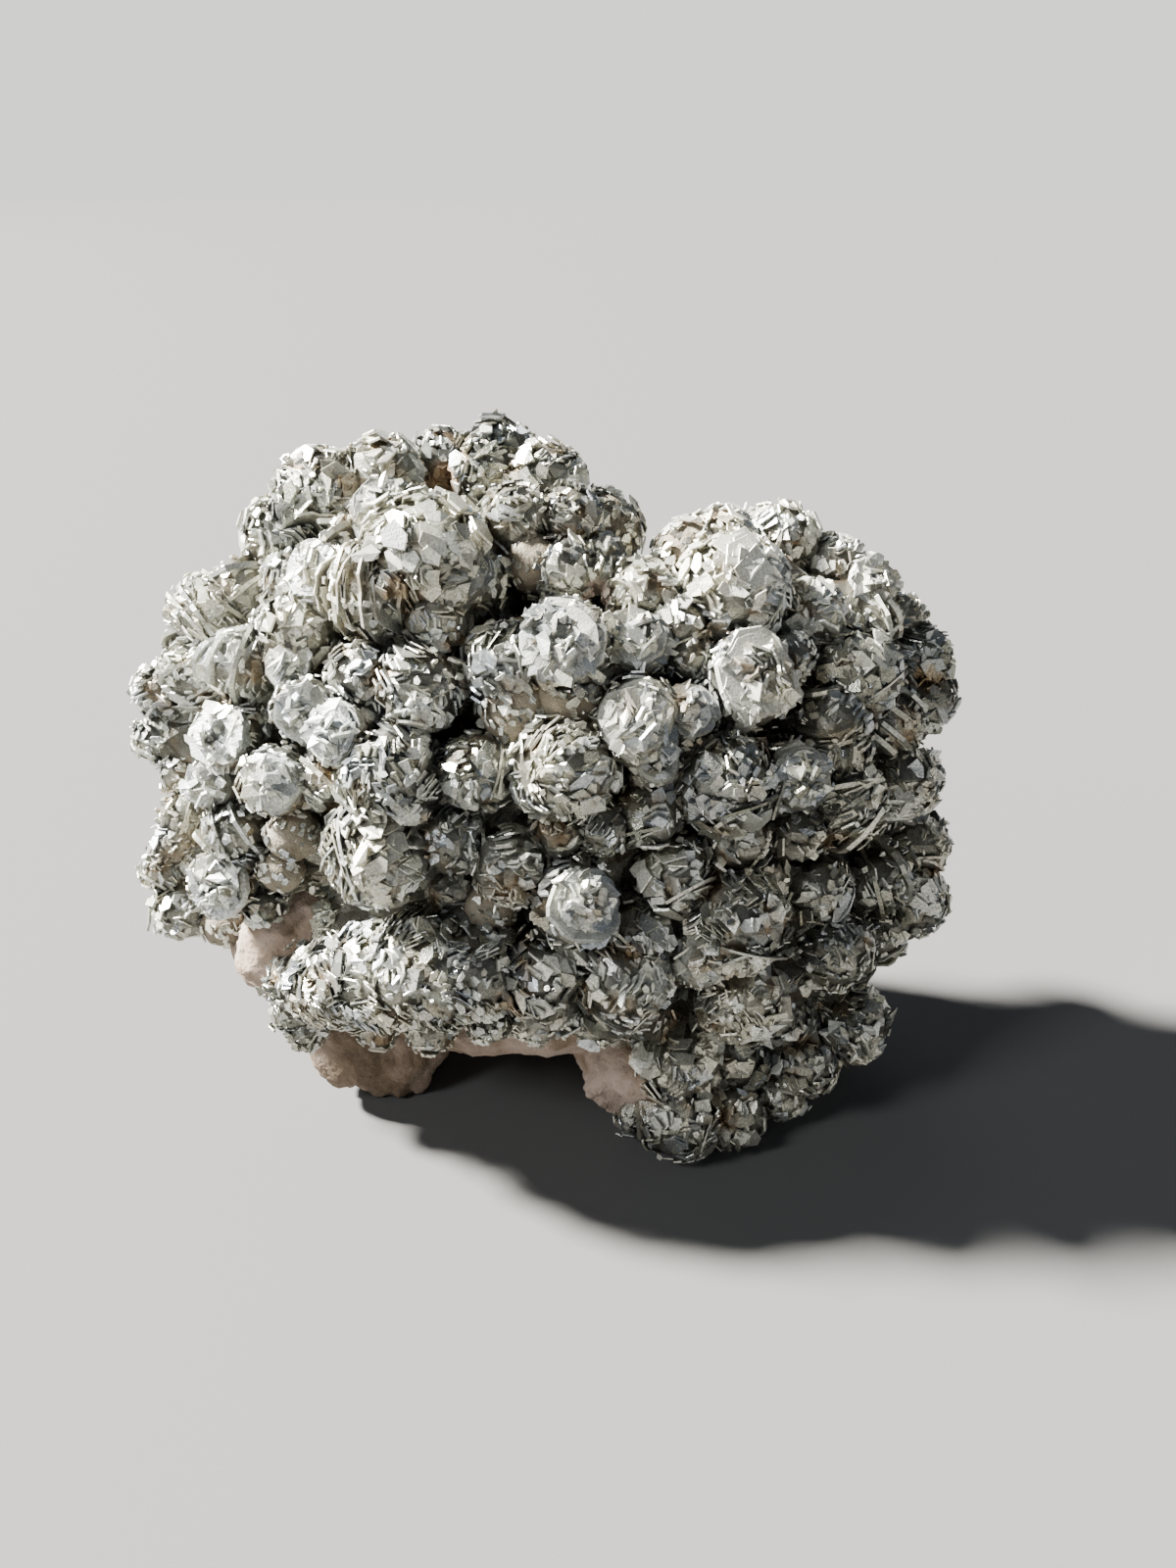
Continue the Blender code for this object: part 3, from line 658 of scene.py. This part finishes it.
def lay_rims(big, knob, number, axis, places, facing, dice, stand=0.0):
    """Slices a knob into large plates square to an axis, at the given shares of the radius."""
    _, centre, radius, _ = knob
    draw = dice.uniform
    count = len(places)
    reach = np.sqrt(np.maximum(1 - places**2, 0.05)) * draw(0.97, 1.06, count) * radius + stand
    spots = centre + axis * (places * radius)[:, None]
    faces = unit(axis + dice.normal(scale=0.17, size=(count, 3)))
    thin = draw(0.10, 0.22, count) * MM + stand * 0.25
    size = together(reach, reach * draw(0.9, 1.0, count), thin)
    shade = shades_of(draw(0.1, 1, count), draw(0, 1, count) ** 3 * 0.7)
    big.add(spots, faces, np.tile(facing, (count, 1)), size, shade, number)


def lay_disc(plates, big, knob, number, axes, dice):
    """Caps a knob with a flat disc of growth terraces and a jumble or a block in its middle."""
    _, centre, radius, _ = knob
    outward, side, across = axes
    draw = dice.uniform
    terraces = dice.integers(3, 6)
    share = 0.93 - np.cumsum(draw(0.03, 0.10, terraces))
    top = 0.52 + np.cumsum(draw(0.18, 0.42, terraces)) * MM / radius
    thick = draw(0.25, 0.4, terraces) * MM
    drift = dice.normal(scale=0.03, size=(terraces, 3)) * radius
    faces = unit(outward + dice.normal(scale=0.03, size=(terraces, 3)))
    shade = shades_of(draw(0.3, 0.9, terraces), np.full(terraces, draw(0.0, 0.7)))
    size = together(share * radius, share * radius * 0.96, thick)
    spots = centre + outward * (top * radius)[:, None] + drift
    big.add(spots, faces, np.tile(side, (terraces, 1)), size, shade, number)
    count = int(48 * (radius / (5 * MM)) ** 2)
    around = draw(0, math.tau, count)
    reach = np.sqrt(draw(0, 1, count)) * share[-1]
    inner = reach < draw(0.5, 0.8) * share[-1]
    slope = np.where(inner, draw(0.4, 1.35, count), draw(0.0, 0.3, count))
    sweep = turned(side, across, around + draw(-1.4, 1.4, count))
    facing = unit(turned(outward, sweep, slope))
    height = top[-1] * radius + thick[-1] + np.where(inner, draw(0.0, 1.0, count), 0.04) * MM
    radial = turned(side, across, around) * (reach * radius)[:, None]
    middle = centre + outward * height[:, None] + radial + drift[-1]
    long_half = draw(0.6, 1.9, count)
    wide_half = np.where(inner, draw(0.6, 1.3, count), draw(0.5, 1.3, count))
    half_thick = np.where(inner, draw(0.10, 0.2, count), 0.08)
    measured = together(long_half, wide_half, half_thick) * MM
    shade = shades_of(draw(0, 1, count), draw(0, 1, count) ** 2)
    plates.add(middle, facing, np.cross(facing, outward + 0.01 * side), measured, shade, number)


def lay_rosette(plates, knob, number, axes, dice):
    """Lays fans of stacked plates over the open side of a big knob, like petals."""
    _, centre, radius, _ = knob
    outward = axes[0]
    draw = dice.uniform
    fans = int(0.9 * (radius / MM) ** 2)
    spot = unit(outward * 1.1 + 0.8 * dice.normal(size=(fans, 3)))
    around = unit(np.cross(outward, spot))
    slope = draw(0.15, 0.95, fans)
    sweep = unit(around * dice.normal(size=fans)[:, None] + unit(spot - outward * 0.3) * 0.8)
    own, step = group_steps(dice.integers(2, 7, fans))
    count = len(own)
    facing = unit(turned(spot[own], sweep[own], slope[own]))
    facing = unit(facing + 0.06 * dice.normal(size=facing.shape))
    half = (draw(0.12, 0.29, fans)[own] * draw(0.85, 1.1, count)) * radius
    thin = draw(0.08, 0.18, count) * MM
    size = together(half, half * draw(0.55, 0.9, fans)[own], thin)
    spread = draw(0.35, 0.75, fans)[own] * step * MM
    rise = radius * draw(0.9, 1.02, fans)[own]
    middle = centre + spot[own] * rise[:, None] + sweep[own] * spread[:, None]
    tone = draw(0.2, 1, fans)[own] + dice.normal(scale=0.12, size=count)
    shade = shades_of(tone, draw(0, 1, fans)[own] ** 3)
    plates.add(middle, facing, np.cross(facing, spot[own] + 0.1), size, shade, number)


def lay_plates(plates, big, knob, number, density, dice):
    """Lays one knob's plates by its habit, the small ones in plates and the large in big."""
    _, _, radius, habit = knob
    axes = knob_axes(knob, dice)
    outward, side, _ = axes
    draw = dice.uniform
    lay_groups(plates, knob, number, axes, density, dice)
    lay_grit(plates, knob, number, axes, dice)
    if habit == "disc" and radius > ROSETTE_RADIUS:
        lay_rosette(plates, knob, number, axes, dice)
    elif habit == "disc":
        lay_disc(plates, big, knob, number, axes, dice)
    elif habit == "stack":
        places = np.arange(-0.9, 0.9, 1.5 * MM / radius)
        places = places + draw(-0.5, 0.5, len(places)) * MM / radius
        places = places[draw(0, 1, len(places)) < 0.8]
        lay_rims(big, knob, number, side, places, outward, dice, stand=0.45 * MM)
    elif habit in ("blades", "scales"):
        axis = unit(side + outward * draw(-0.2, 0.5))
        places = draw(0.35, 0.75) + np.arange(dice.integers(2, 5)) * 0.8 * MM / radius
        lay_rims(big, knob, number, axis, places[places < 0.93], outward, dice)


def lay_between(points, normals, dice):
    """Small groups of plates on the crust's ground wherever it shows between the knobs."""
    reaches = [np.linalg.norm(points - c, axis=-1) / r for c, r in zip(CENTRES, RADII)]
    own = np.argmin(np.stack(reaches), axis=0)
    reach = np.linalg.norm(points - CENTRES[own], axis=-1) / RADII[own]
    open_ground = np.flatnonzero((reach > BETWEEN_REACH) & (points[:, 2] > 1.0 * MM))
    picked = dice.permutation(open_ground)[:BETWEEN_GROUPS]
    groups, draw = len(picked), dice.uniform
    sweep = turned(*tangents(normals[picked]), draw(0, math.tau, groups))
    slope = draw(0.15, 1.2, groups)
    row, step = group_steps(dice.integers(2, 5, groups))
    count = len(row)
    normal, sweep = normals[picked][row], sweep[row]
    facing = turned(normal, sweep, slope[row])
    facing = unit(facing + 0.12 * dice.normal(size=facing.shape))
    measured = draw((0.7, 0.6, 0.07), (1.9, 1.5, 0.16), (count, 3)) * MM
    rise = (draw(-0.8, 0.3, groups)[row] + draw(-0.15, 0.15, count)) * MM
    rise = rise - 0.5 * measured[:, 1] * np.sin(slope[row])
    spread = step * draw(0.4, 0.8, groups)[row] * MM
    shade = shades_of(draw(0, 0.9, groups)[row], draw(0, 1, groups)[row] ** 4)
    # Painted shade of the plates on the ground between the knobs
    shade[:, 1] = BETWEEN_PAINTED_SHADE
    return {
        "middle": points[picked][row] + normal * rise[:, None] + sweep * spread[:, None],
        "facing": facing,
        "along": np.cross(facing, sweep + 0.1),
        "sizes": measured,
        "shade": shade,
        "knob": own[picked][row],
    }


def dome(knob, dice, number):
    """A knob's rough dome: a ball moved in and out by noise, pitted all over."""
    _, centre, radius, habit = knob
    seed = int(dice.integers(1, 9999))
    smooth = habit == "smooth"
    share = 0.96 if smooth else 0.90
    outward = unit(unit(view_axes()[0] - centre) + unit(centre - FORM_CENTRE) * 0.5)

    def swell(direction):
        broad = value_noise(direction, 0.6, seed)
        fine = value_noise(direction, 0.16, seed + 1)
        reach = share + 0.05 * broad + 0.03 * fine
        if smooth:
            reach = reach + 0.04 * broad + 0.02 * value_noise(direction, 0.07, seed + 2)
        if habit == "disc" and radius < ROSETTE_RADIUS:
            reach = np.minimum(reach, 0.5 / np.maximum(direction @ outward, 0.5))
        return reach

    points, triangles = grid_ball(centre, radius, *(SKIN_GRID if smooth else DOME_GRID), swell)
    shade = np.tile([0.35, 0.0, 0.0, 1.0], (len(points), 1))
    # Painted shade: deeper between knobs is darker, and a plated dome is dark all over
    shade[:, 1] = crevice_share(points, np.full(len(points), number))
    if not smooth:
        shade[:, 1] = np.maximum(shade[:, 1], DOME_PAINTED_SHADE)
    # Painted shade, darkest, in the deep crevices
    shade[crevice_band(points), 1] = CREVICE_PAINTED_SHADE
    return points, triangles, shade


def feed(tree, made, inputs):
    """Gives a node's inputs their values, each a socket to link, a number or a colour."""
    for key, value in inputs.items():
        socket = made.inputs[key]
        if isinstance(value, bpy.types.NodeSocket):
            tree.links.new(value, socket)
        else:
            socket.default_value = (*value, 1.0) if socket.type == "RGBA" else value


def node(tree, kind, inputs=None, **settings):
    """A shader node with its settings and inputs, set in the next place of the layout."""
    made = tree.nodes.new(kind)
    column, row = divmod(len(tree.nodes), NODE_ROWS)
    made.location = (column * NODE_GAP, -row * NODE_GAP)
    for key, value in settings.items():
        setattr(made, key, value)
    feed(tree, made, inputs or {})
    return made


def noise_node(tree, vector, scale, detail):
    """A noise texture on object coordinates."""
    inputs = {"Vector": vector, "Scale": scale, "Detail": detail}
    return node(tree, "ShaderNodeTexNoise", inputs).outputs["Fac"]


def blend_colour(tree, share, low, high):
    """Mixes two colours, each given as numbers or as a socket."""
    inputs = {"Factor": share, 6: low, 7: high}
    return node(tree, "ShaderNodeMix", inputs, data_type="RGBA").outputs[2]


def stepped(tree, value, low, high, to_low=0.0, to_high=1.0):
    """Stretches a value from one range to another and holds it there."""
    ranges = {"From Min": low, "From Max": high, "To Min": to_low, "To Max": to_high}
    return node(tree, "ShaderNodeMapRange", {"Value": value, **ranges}).outputs["Result"]


def combined(tree, operation, first, second):
    """The sum or product of two values."""
    return node(tree, "ShaderNodeMath", {0: first, 1: second}, operation=operation).outputs[0]


def new_material(name):
    """A new material, its node tree, its shader and the object coordinates."""
    made = bpy.data.materials.new(name)
    made.use_nodes = True
    tree = made.node_tree
    place = node(tree, "ShaderNodeTexCoord").outputs["Object"]
    return made, tree, tree.nodes["Principled BSDF"], place


def finish(tree, shader, colour, rough, metallic, relief, strength, depth):
    """Feeds a shader its colour, roughness, metallic share and a fine relief of some depth in m."""
    inputs = {"Height": relief, "Strength": strength, "Distance": depth}
    normal = node(tree, "ShaderNodeBump", inputs).outputs["Normal"]
    values = {"Base Color": colour, "Roughness": rough, "Metallic": metallic, "Normal": normal}
    feed(tree, shader, values)


def marcasite_material(name, colours, smooth_face):
    """Metallic marcasite: pale brass plates, olive shade, gold-brown tarnish, painted shade in the
    crevices.

    The tone attribute gives each plate its own shade in red, how deep it lies between knobs in
    green, which sets its painted shade, and how blue it looks in blue.
    """
    made, tree, shader, place = new_material(name)
    tone = node(tree, "ShaderNodeAttribute", attribute_name="tone").outputs["Color"]
    parts = node(tree, "ShaderNodeSeparateColor", {"Color": tone}).outputs
    own, depth, blue = parts[0], parts[1], parts[2]
    broad = noise_node(tree, place, 70, 3)
    patchy = noise_node(tree, place, 210, 4)
    grain = noise_node(tree, place, 3400, 3)
    colour = blend_colour(tree, stepped(tree, own, 0.15, 0.85), colours.olive, colours.tin)
    colour = blend_colour(tree, stepped(tree, broad, 0.42, 0.62), colour, colours.brass)
    # Bluish tarnish and painted sky reflection, by each plate's blue share
    colour = blend_colour(tree, combined(tree, "MULTIPLY", blue, 0.6), colour, colours.blue)
    hollow = stepped(tree, depth, 0.05, 0.75, 0.25, 1.0)
    rusty = combined(tree, "MULTIPLY", stepped(tree, patchy, 0.52, 0.68), hollow)
    colour = blend_colour(tree, rusty, colour, colours.tarnish)
    # Painted shade: darker towards near black the deeper a point lies between knobs
    colour = blend_colour(tree, stepped(tree, depth, 0.35, 1.25), colour, colours.crevice_shade_and_specks)
    speck = stepped(tree, grain, 0.35, 0.62, 0.45, 0.0)
    colour = blend_colour(tree, speck, colour, colours.crevice_shade_and_specks)
    bare = None
    for seen_x, seen_y, forward_mm, radius_mm, finish_name in BARE_SPOTS:
        ends = {0: place, 1: on_form(seen_x, seen_y, forward_mm) + CENTRING}
        apart = node(tree, "ShaderNodeVectorMath", ends, operation="DISTANCE").outputs["Value"]
        near = stepped(tree, apart, radius_mm * 1.4 * MM, radius_mm * MM)
        colour = blend_colour(tree, near, colour, getattr(colours, finish_name))
        bare = near if bare is None else combined(tree, "ADD", bare, near)
    if smooth_face:
        # Smooth undersides take the dark brown skin: their own brown, darkened as painted shade
        shown = stepped(tree, broad, 0.3, 0.7, 0.78, 0.98)
        colour = blend_colour(tree, shown, colour, colours.skin)
        rough = stepped(tree, grain, 0.3, 0.7, 0.6, 0.85)
        finish(tree, shader, colour, rough, 0.2, grain, 0.7, 0.0003)
    else:
        gloss = stepped(tree, own, 0.0, 1.0, 0.26, 0.52)
        rough = combined(tree, "ADD", gloss, stepped(tree, grain, 0.35, 0.65, 0.14, -0.06))
        rough = combined(tree, "ADD", rough, combined(tree, "MULTIPLY", bare, 0.5))
        metallic = stepped(tree, bare, 0.0, 1.0, 0.82, 0.0)
        finish(tree, shader, colour, rough, metallic, grain, 0.7, 0.00008)
    return made


def crystal_material(smooth_face):
    """The finish of the plates or of the smooth undersides, made once."""
    name = "marcasite_skin" if smooth_face else "marcasite_plates"
    found = bpy.data.materials.get(name)
    return found or marcasite_material(name, bpy.context.scene.marcasite_colours, smooth_face)


def marl_material(name, colours):
    """Dull clayey marl: pinkish beige with paler dust, brown stains and fine pits."""
    made, tree, shader, place = new_material(name)
    broad = noise_node(tree, place, 90, 5)
    stain = noise_node(tree, place, 170, 6)
    grain = noise_node(tree, place, 1700, 5)
    colour = blend_colour(tree, stepped(tree, broad, 0.35, 0.65), colours.marl_shade, colours.marl)
    colour = blend_colour(tree, stepped(tree, stain, 0.50, 0.66), colour, colours.clay)
    where = node(tree, "ShaderNodeSeparateXYZ", {0: place}).outputs
    low = stepped(tree, where["Z"], 0.028, 0.014)
    foot = combined(tree, "MULTIPLY", low, stepped(tree, where["X"], -0.004, -0.014))
    dirty = combined(tree, "MULTIPLY", foot, stepped(tree, stain, 0.34, 0.52, 0.45, 1.0))
    colour = blend_colour(tree, dirty, colour, colours.dirt)
    pitted = stepped(tree, grain, 0.62, 0.75, 0.0, 0.5)
    colour = blend_colour(tree, pitted, colour, colours.crevice_shade_and_specks)
    finish(tree, shader, colour, 0.88, 0.0, grain, 0.9, 0.0004)
    return made


def floor_material(name, colour):
    """A matte finish that fades out far away, so that the floor has no edge."""
    made, tree, shader, place = new_material(name)
    feed(tree, shader, {"Base Color": colour, "Roughness": 0.9, "Specular IOR Level": 0.15})
    away = node(tree, "ShaderNodeVectorMath", {0: place}, operation="LENGTH").outputs["Value"]
    clear = node(tree, "ShaderNodeBsdfTransparent").outputs[0]
    ends = {0: stepped(tree, away, 0.8, 5.0), 1: shader.outputs[0], 2: clear}
    mixed = node(tree, "ShaderNodeMixShader", ends).outputs[0]
    feed(tree, tree.nodes["Material Output"], {"Surface": mixed})
    return made


def colour_property(label, text, default):
    """A colour that the sidebar shows."""
    return FloatVectorProperty(
        name=label, description=text, default=default, subtype="COLOR", min=0.0, max=1.0
    )


class MarcasiteColours(PropertyGroup):
    """Colours of the crystals, the marl and the floor."""

    tin: colour_property("Tin white", "Palest crystal plates", (0.825, 0.84, 0.77))
    brass: colour_property("Brass", "Pale brass crystal plates", (0.69, 0.67, 0.55))
    olive: colour_property("Olive", "Greyish green crystal plates", (0.212, 0.213, 0.168))
    # Partly a bluish tarnish, partly a painted reflection of the blue sky on flat faces
    blue: colour_property("Steel blue", "Flat faces that look bluish", (0.42, 0.48, 0.56))
    tarnish: colour_property("Tarnish", "Gold-brown tarnish in the crevices", (0.34, 0.235, 0.12))
    # Painted shade: near black for the shade deep between the knobs; it also colours dark specks of
    # fine grain
    crevice_shade_and_specks: colour_property("Crevice", "Dark bronze deep between the knobs", (0.03, 0.026, 0.02))
    marl: colour_property("Marl", "Pinkish beige marl", (0.375, 0.295, 0.243))
    marl_shade: colour_property("Marl shade", "Darker marl", (0.26, 0.197, 0.15))
    clay: colour_property("Clay", "Brown stains on the marl", (0.19, 0.13, 0.078))
    dirt: colour_property("Dirt", "Dark dirt on the front foot of the marl", (0.11, 0.075, 0.045))
    # Partly the undersides' own brown, partly painted shade: darkened where they lie in shade
    skin: colour_property("Skin", "Smooth brown undersides of some knobs", (0.17, 0.14, 0.095))
    floor: colour_property("Floor", "Pale floor", (0.100, 0.0985, 0.0962))


class MarcasiteSizes(PropertyGroup):
    """Sizes of the plates."""

    density: FloatProperty(
        name="Plates per square mm",
        description="Plates laid per square millimetre of a knob's radius",
        default=6.0,
        min=1.0,
        max=20.0,
    )
    corners: IntProperty(
        name="Plate corners", description="Corners of each plate", default=5, min=5, max=12
    )
    curl: FloatProperty(
        name="Curl",
        description="How far a plate curls, as a share of it",
        default=0.22,
        min=0.0,
        max=1.0,
    )
    key_power: FloatProperty(
        name="Key light", description="Strength of the key light", default=60.0, min=0.0
    )


class MARCASITE_OT_add_knobs(Operator):
    """Dress every lobe's knobs in domes and crystal plates"""

    bl_idname = "marcasite.add_knobs"
    bl_label = "Add crystal knobs"

    def execute(self, context):
        settings = context.scene.marcasite_sizes
        for lobe_number, lobe in enumerate(dict.fromkeys(knob[0] for knob in ALL)):
            dice = np.random.default_rng(LOBE_SEED + lobe_number)
            small, large = Plates(), Plates()
            domes, skins = [], []
            for number, knob in enumerate(ALL):
                if knob[0] != lobe:
                    continue
                lay_plates(small, large, knob, number, settings.density, dice)
                made = dome(knob, dice, number)
                (skins if knob[3] == "smooth" else domes).append(made)
            rows = visible_plates(small.joined())
            # Painted light or shade of the lobe over its small plates
            paint_lobe_light_and_shade(rows, lobe)
            chunks = [plate_surfaces(rows, settings.corners, dice, settings.curl)]
            if large.rows["middle"]:
                rows = large.joined()
                rows = keep_rows(rows, ~crevice_band(rows["middle"]))
                # Painted light or shade of the lobe over its large plates
                paint_lobe_light_and_shade(rows, lobe)
                # Painted shade of the large plates between knobs, at half strength
                rows["shade"][:, 1] = 0.5 * crevice_share(rows["middle"], rows["knob"])
                chunks.append(plate_surfaces(rows, RIM_CORNERS, dice, settings.curl * 0.5))
            crystal_piece("crystals_" + lobe, chunks + domes)
            if skins:
                crystal_piece("smooth_knobs_" + lobe, skins, smooth=True)
        return {"FINISHED"}


class MARCASITE_OT_add_crust(Operator):
    """Add the crust's rough ground, which shows in the crevices between the knobs"""

    bl_idname = "marcasite.add_crust"
    bl_label = "Add crust ground"

    def execute(self, context):
        points, normals, triangles = node_copy("marcasite_crystals", 1)
        rough = value_noise(points, 0.9 * MM, 5) * 0.35 + value_noise(points, 2.2 * MM, 6) * 0.3 - 1.45
        points = points + normals * rough[:, None] * MM
        # Painted shade: the ground is dark, and darkest in the deep crevices
        shade = np.tile([0.2, GROUND_PAINTED_SHADE, 0.0, 1.0], (len(points), 1))
        shade[crevice_band(points), 1] = CREVICE_PAINTED_SHADE
        crystal_piece("crust_ground", [(points, triangles, shade)])
        dice = np.random.default_rng(GROUND_SEED)
        rows = lay_between(points, normals, dice)
        settings = context.scene.marcasite_sizes
        surface = plate_surfaces(rows, settings.corners, dice, settings.curl)
        crystal_piece("crystals_between", [surface])
        return {"FINISHED"}


class MARCASITE_OT_add_marl(Operator):
    """Add the pale marl that the crystals grew on, with the hollow between its feet"""

    bl_idname = "marcasite.add_marl"
    bl_label = "Add marl"

    def execute(self, context):
        points, normals, triangles = node_copy("marl_matrix", 3)
        rough = value_noise(points, 5 * MM, 1) * 0.9 + value_noise(points, 1.7 * MM, 2) * 0.5
        rough += value_noise(points, 0.7 * MM, 3) * 0.3
        points = points + normals * rough[:, None] * MM
        shade = np.tile([0.5, 0.0, 0.0, 1.0], (len(points), 1))
        material = marl_material("marl", context.scene.marcasite_colours)
        piece = mesh_piece("marl", [(points, triangles, shade)], material, smooth=True)
        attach(piece, "root")
        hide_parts("marl_matrix")
        return {"FINISHED"}


class MARCASITE_OT_add_stage(Operator):
    """Add the pale floor, the studio lights and the camera at the photograph's viewing angle"""

    bl_idname = "marcasite.add_stage"
    bl_label = "Add floor, lights and camera"

    def execute(self, context):
        scene = context.scene
        floor_mesh = bpy.data.meshes.new("floor")
        corners = [
            (x * FLOOR_REACH, y * FLOOR_REACH, 0) for x, y in ((-1, -1), (1, -1), (1, 1), (-1, 1))
        ]
        floor_mesh.from_pydata(corners, [], [(0, 1, 2, 3)])
        floor_mesh.materials.append(floor_material("floor", scene.marcasite_colours.floor))
        floor = put_in("floor", floor_mesh)
        floor.location.z = -FLOOR_DROP
        world = bpy.data.worlds.new("studio")
        world.use_nodes = True
        tree = world.node_tree
        direction = node(tree, "ShaderNodeTexCoord").outputs["Generated"]
        height = node(tree, "ShaderNodeSeparateXYZ", {0: direction}).outputs["Z"]
        sky = blend_colour(tree, stepped(tree, height, 0.11, 0.3), LOW_SKY, HIGH_SKY)
        seen = node(tree, "ShaderNodeLightPath").outputs["Is Camera Ray"]
        colour = blend_colour(tree, seen, sky, SEEN_SKY)
        feed(tree, tree.nodes["Background"], {"Color": colour, "Strength": 1.0})
        scene.world = world
        power = scene.marcasite_sizes.key_power
        self.add_light("key_light", (-0.68, 0.16, 0.67), None, power, (1.0, 0.975, 0.925))
        self.add_light("sky_fill", (-0.05, 0.45, 0.90), 0.50, 1.4, (0.80, 0.90, 1.0))
        self.add_light("front_fill", (-0.55, -0.38, 0.52), 0.16, 3.5, (0.95, 0.97, 1.0))
        camera = bpy.data.cameras.new("camera")
        camera.lens = FILM_SIZE * FOCAL_LENGTH_PIXELS / PICTURE_SIZE[1]
        camera.sensor_width = FILM_SIZE
        camera.clip_start = 0.01
        holder = put_in("camera", camera)
        holder.location = view_axes()[0] + CENTRING
        holder.rotation_euler = (math.pi / 2 - VIEW_PITCH, 0, 0)
        scene.camera = holder
        return {"FINISHED"}

    def add_light(self, name, place, size, power, colour):
        """A square lamp that faces the middle of the cluster, or a far one if it has no size."""
        lamp = bpy.data.lights.new(name, "AREA" if size else "SUN")
        if size:
            lamp.size = size
        else:
            lamp.angle = SUN_SPREAD
        lamp.energy = power
        lamp.color = colour
        holder = put_in(name, lamp)
        holder.location = place
        facing = np.array(place) - LAMP_TARGET
        tilt = math.acos(facing[2] / np.linalg.norm(facing))
        holder.rotation_euler = (tilt, 0, math.atan2(facing[1], facing[0]) + math.pi / 2)


class VIEW3D_PT_marcasite(Panel):
    """Sizes, colours and pieces of the marcasite cluster"""

    bl_label = "Marcasite cluster"
    bl_space_type = "VIEW_3D"
    bl_region_type = "UI"
    bl_category = "Marcasite"

    def draw(self, context):
        layout = self.layout
        for group in (context.scene.marcasite_sizes, context.scene.marcasite_colours):
            for name in group.__annotations__:
                layout.prop(group, name)
        for operator in OPERATORS:
            layout.operator(operator.bl_idname)


OPERATORS = (
    MARCASITE_OT_add_stage,
    MARCASITE_OT_add_marl,
    MARCASITE_OT_add_crust,
    MARCASITE_OT_add_knobs,
)
CLASSES = (MarcasiteColours, MarcasiteSizes, *OPERATORS, VIEW3D_PT_marcasite)


def register():
    for item in CLASSES:
        bpy.utils.register_class(item)
    bpy.types.Scene.marcasite_colours = PointerProperty(type=MarcasiteColours)
    bpy.types.Scene.marcasite_sizes = PointerProperty(type=MarcasiteSizes)


def unregister():
    del bpy.types.Scene.marcasite_sizes
    del bpy.types.Scene.marcasite_colours
    for item in reversed(CLASSES):
        bpy.utils.unregister_class(item)


def main():
    register()
    bpy.ops.marcasite.add_stage()
    bpy.ops.marcasite.add_marl()
    bpy.ops.marcasite.add_crust()
    bpy.ops.marcasite.add_knobs()


if __name__ == "__main__":
    main()
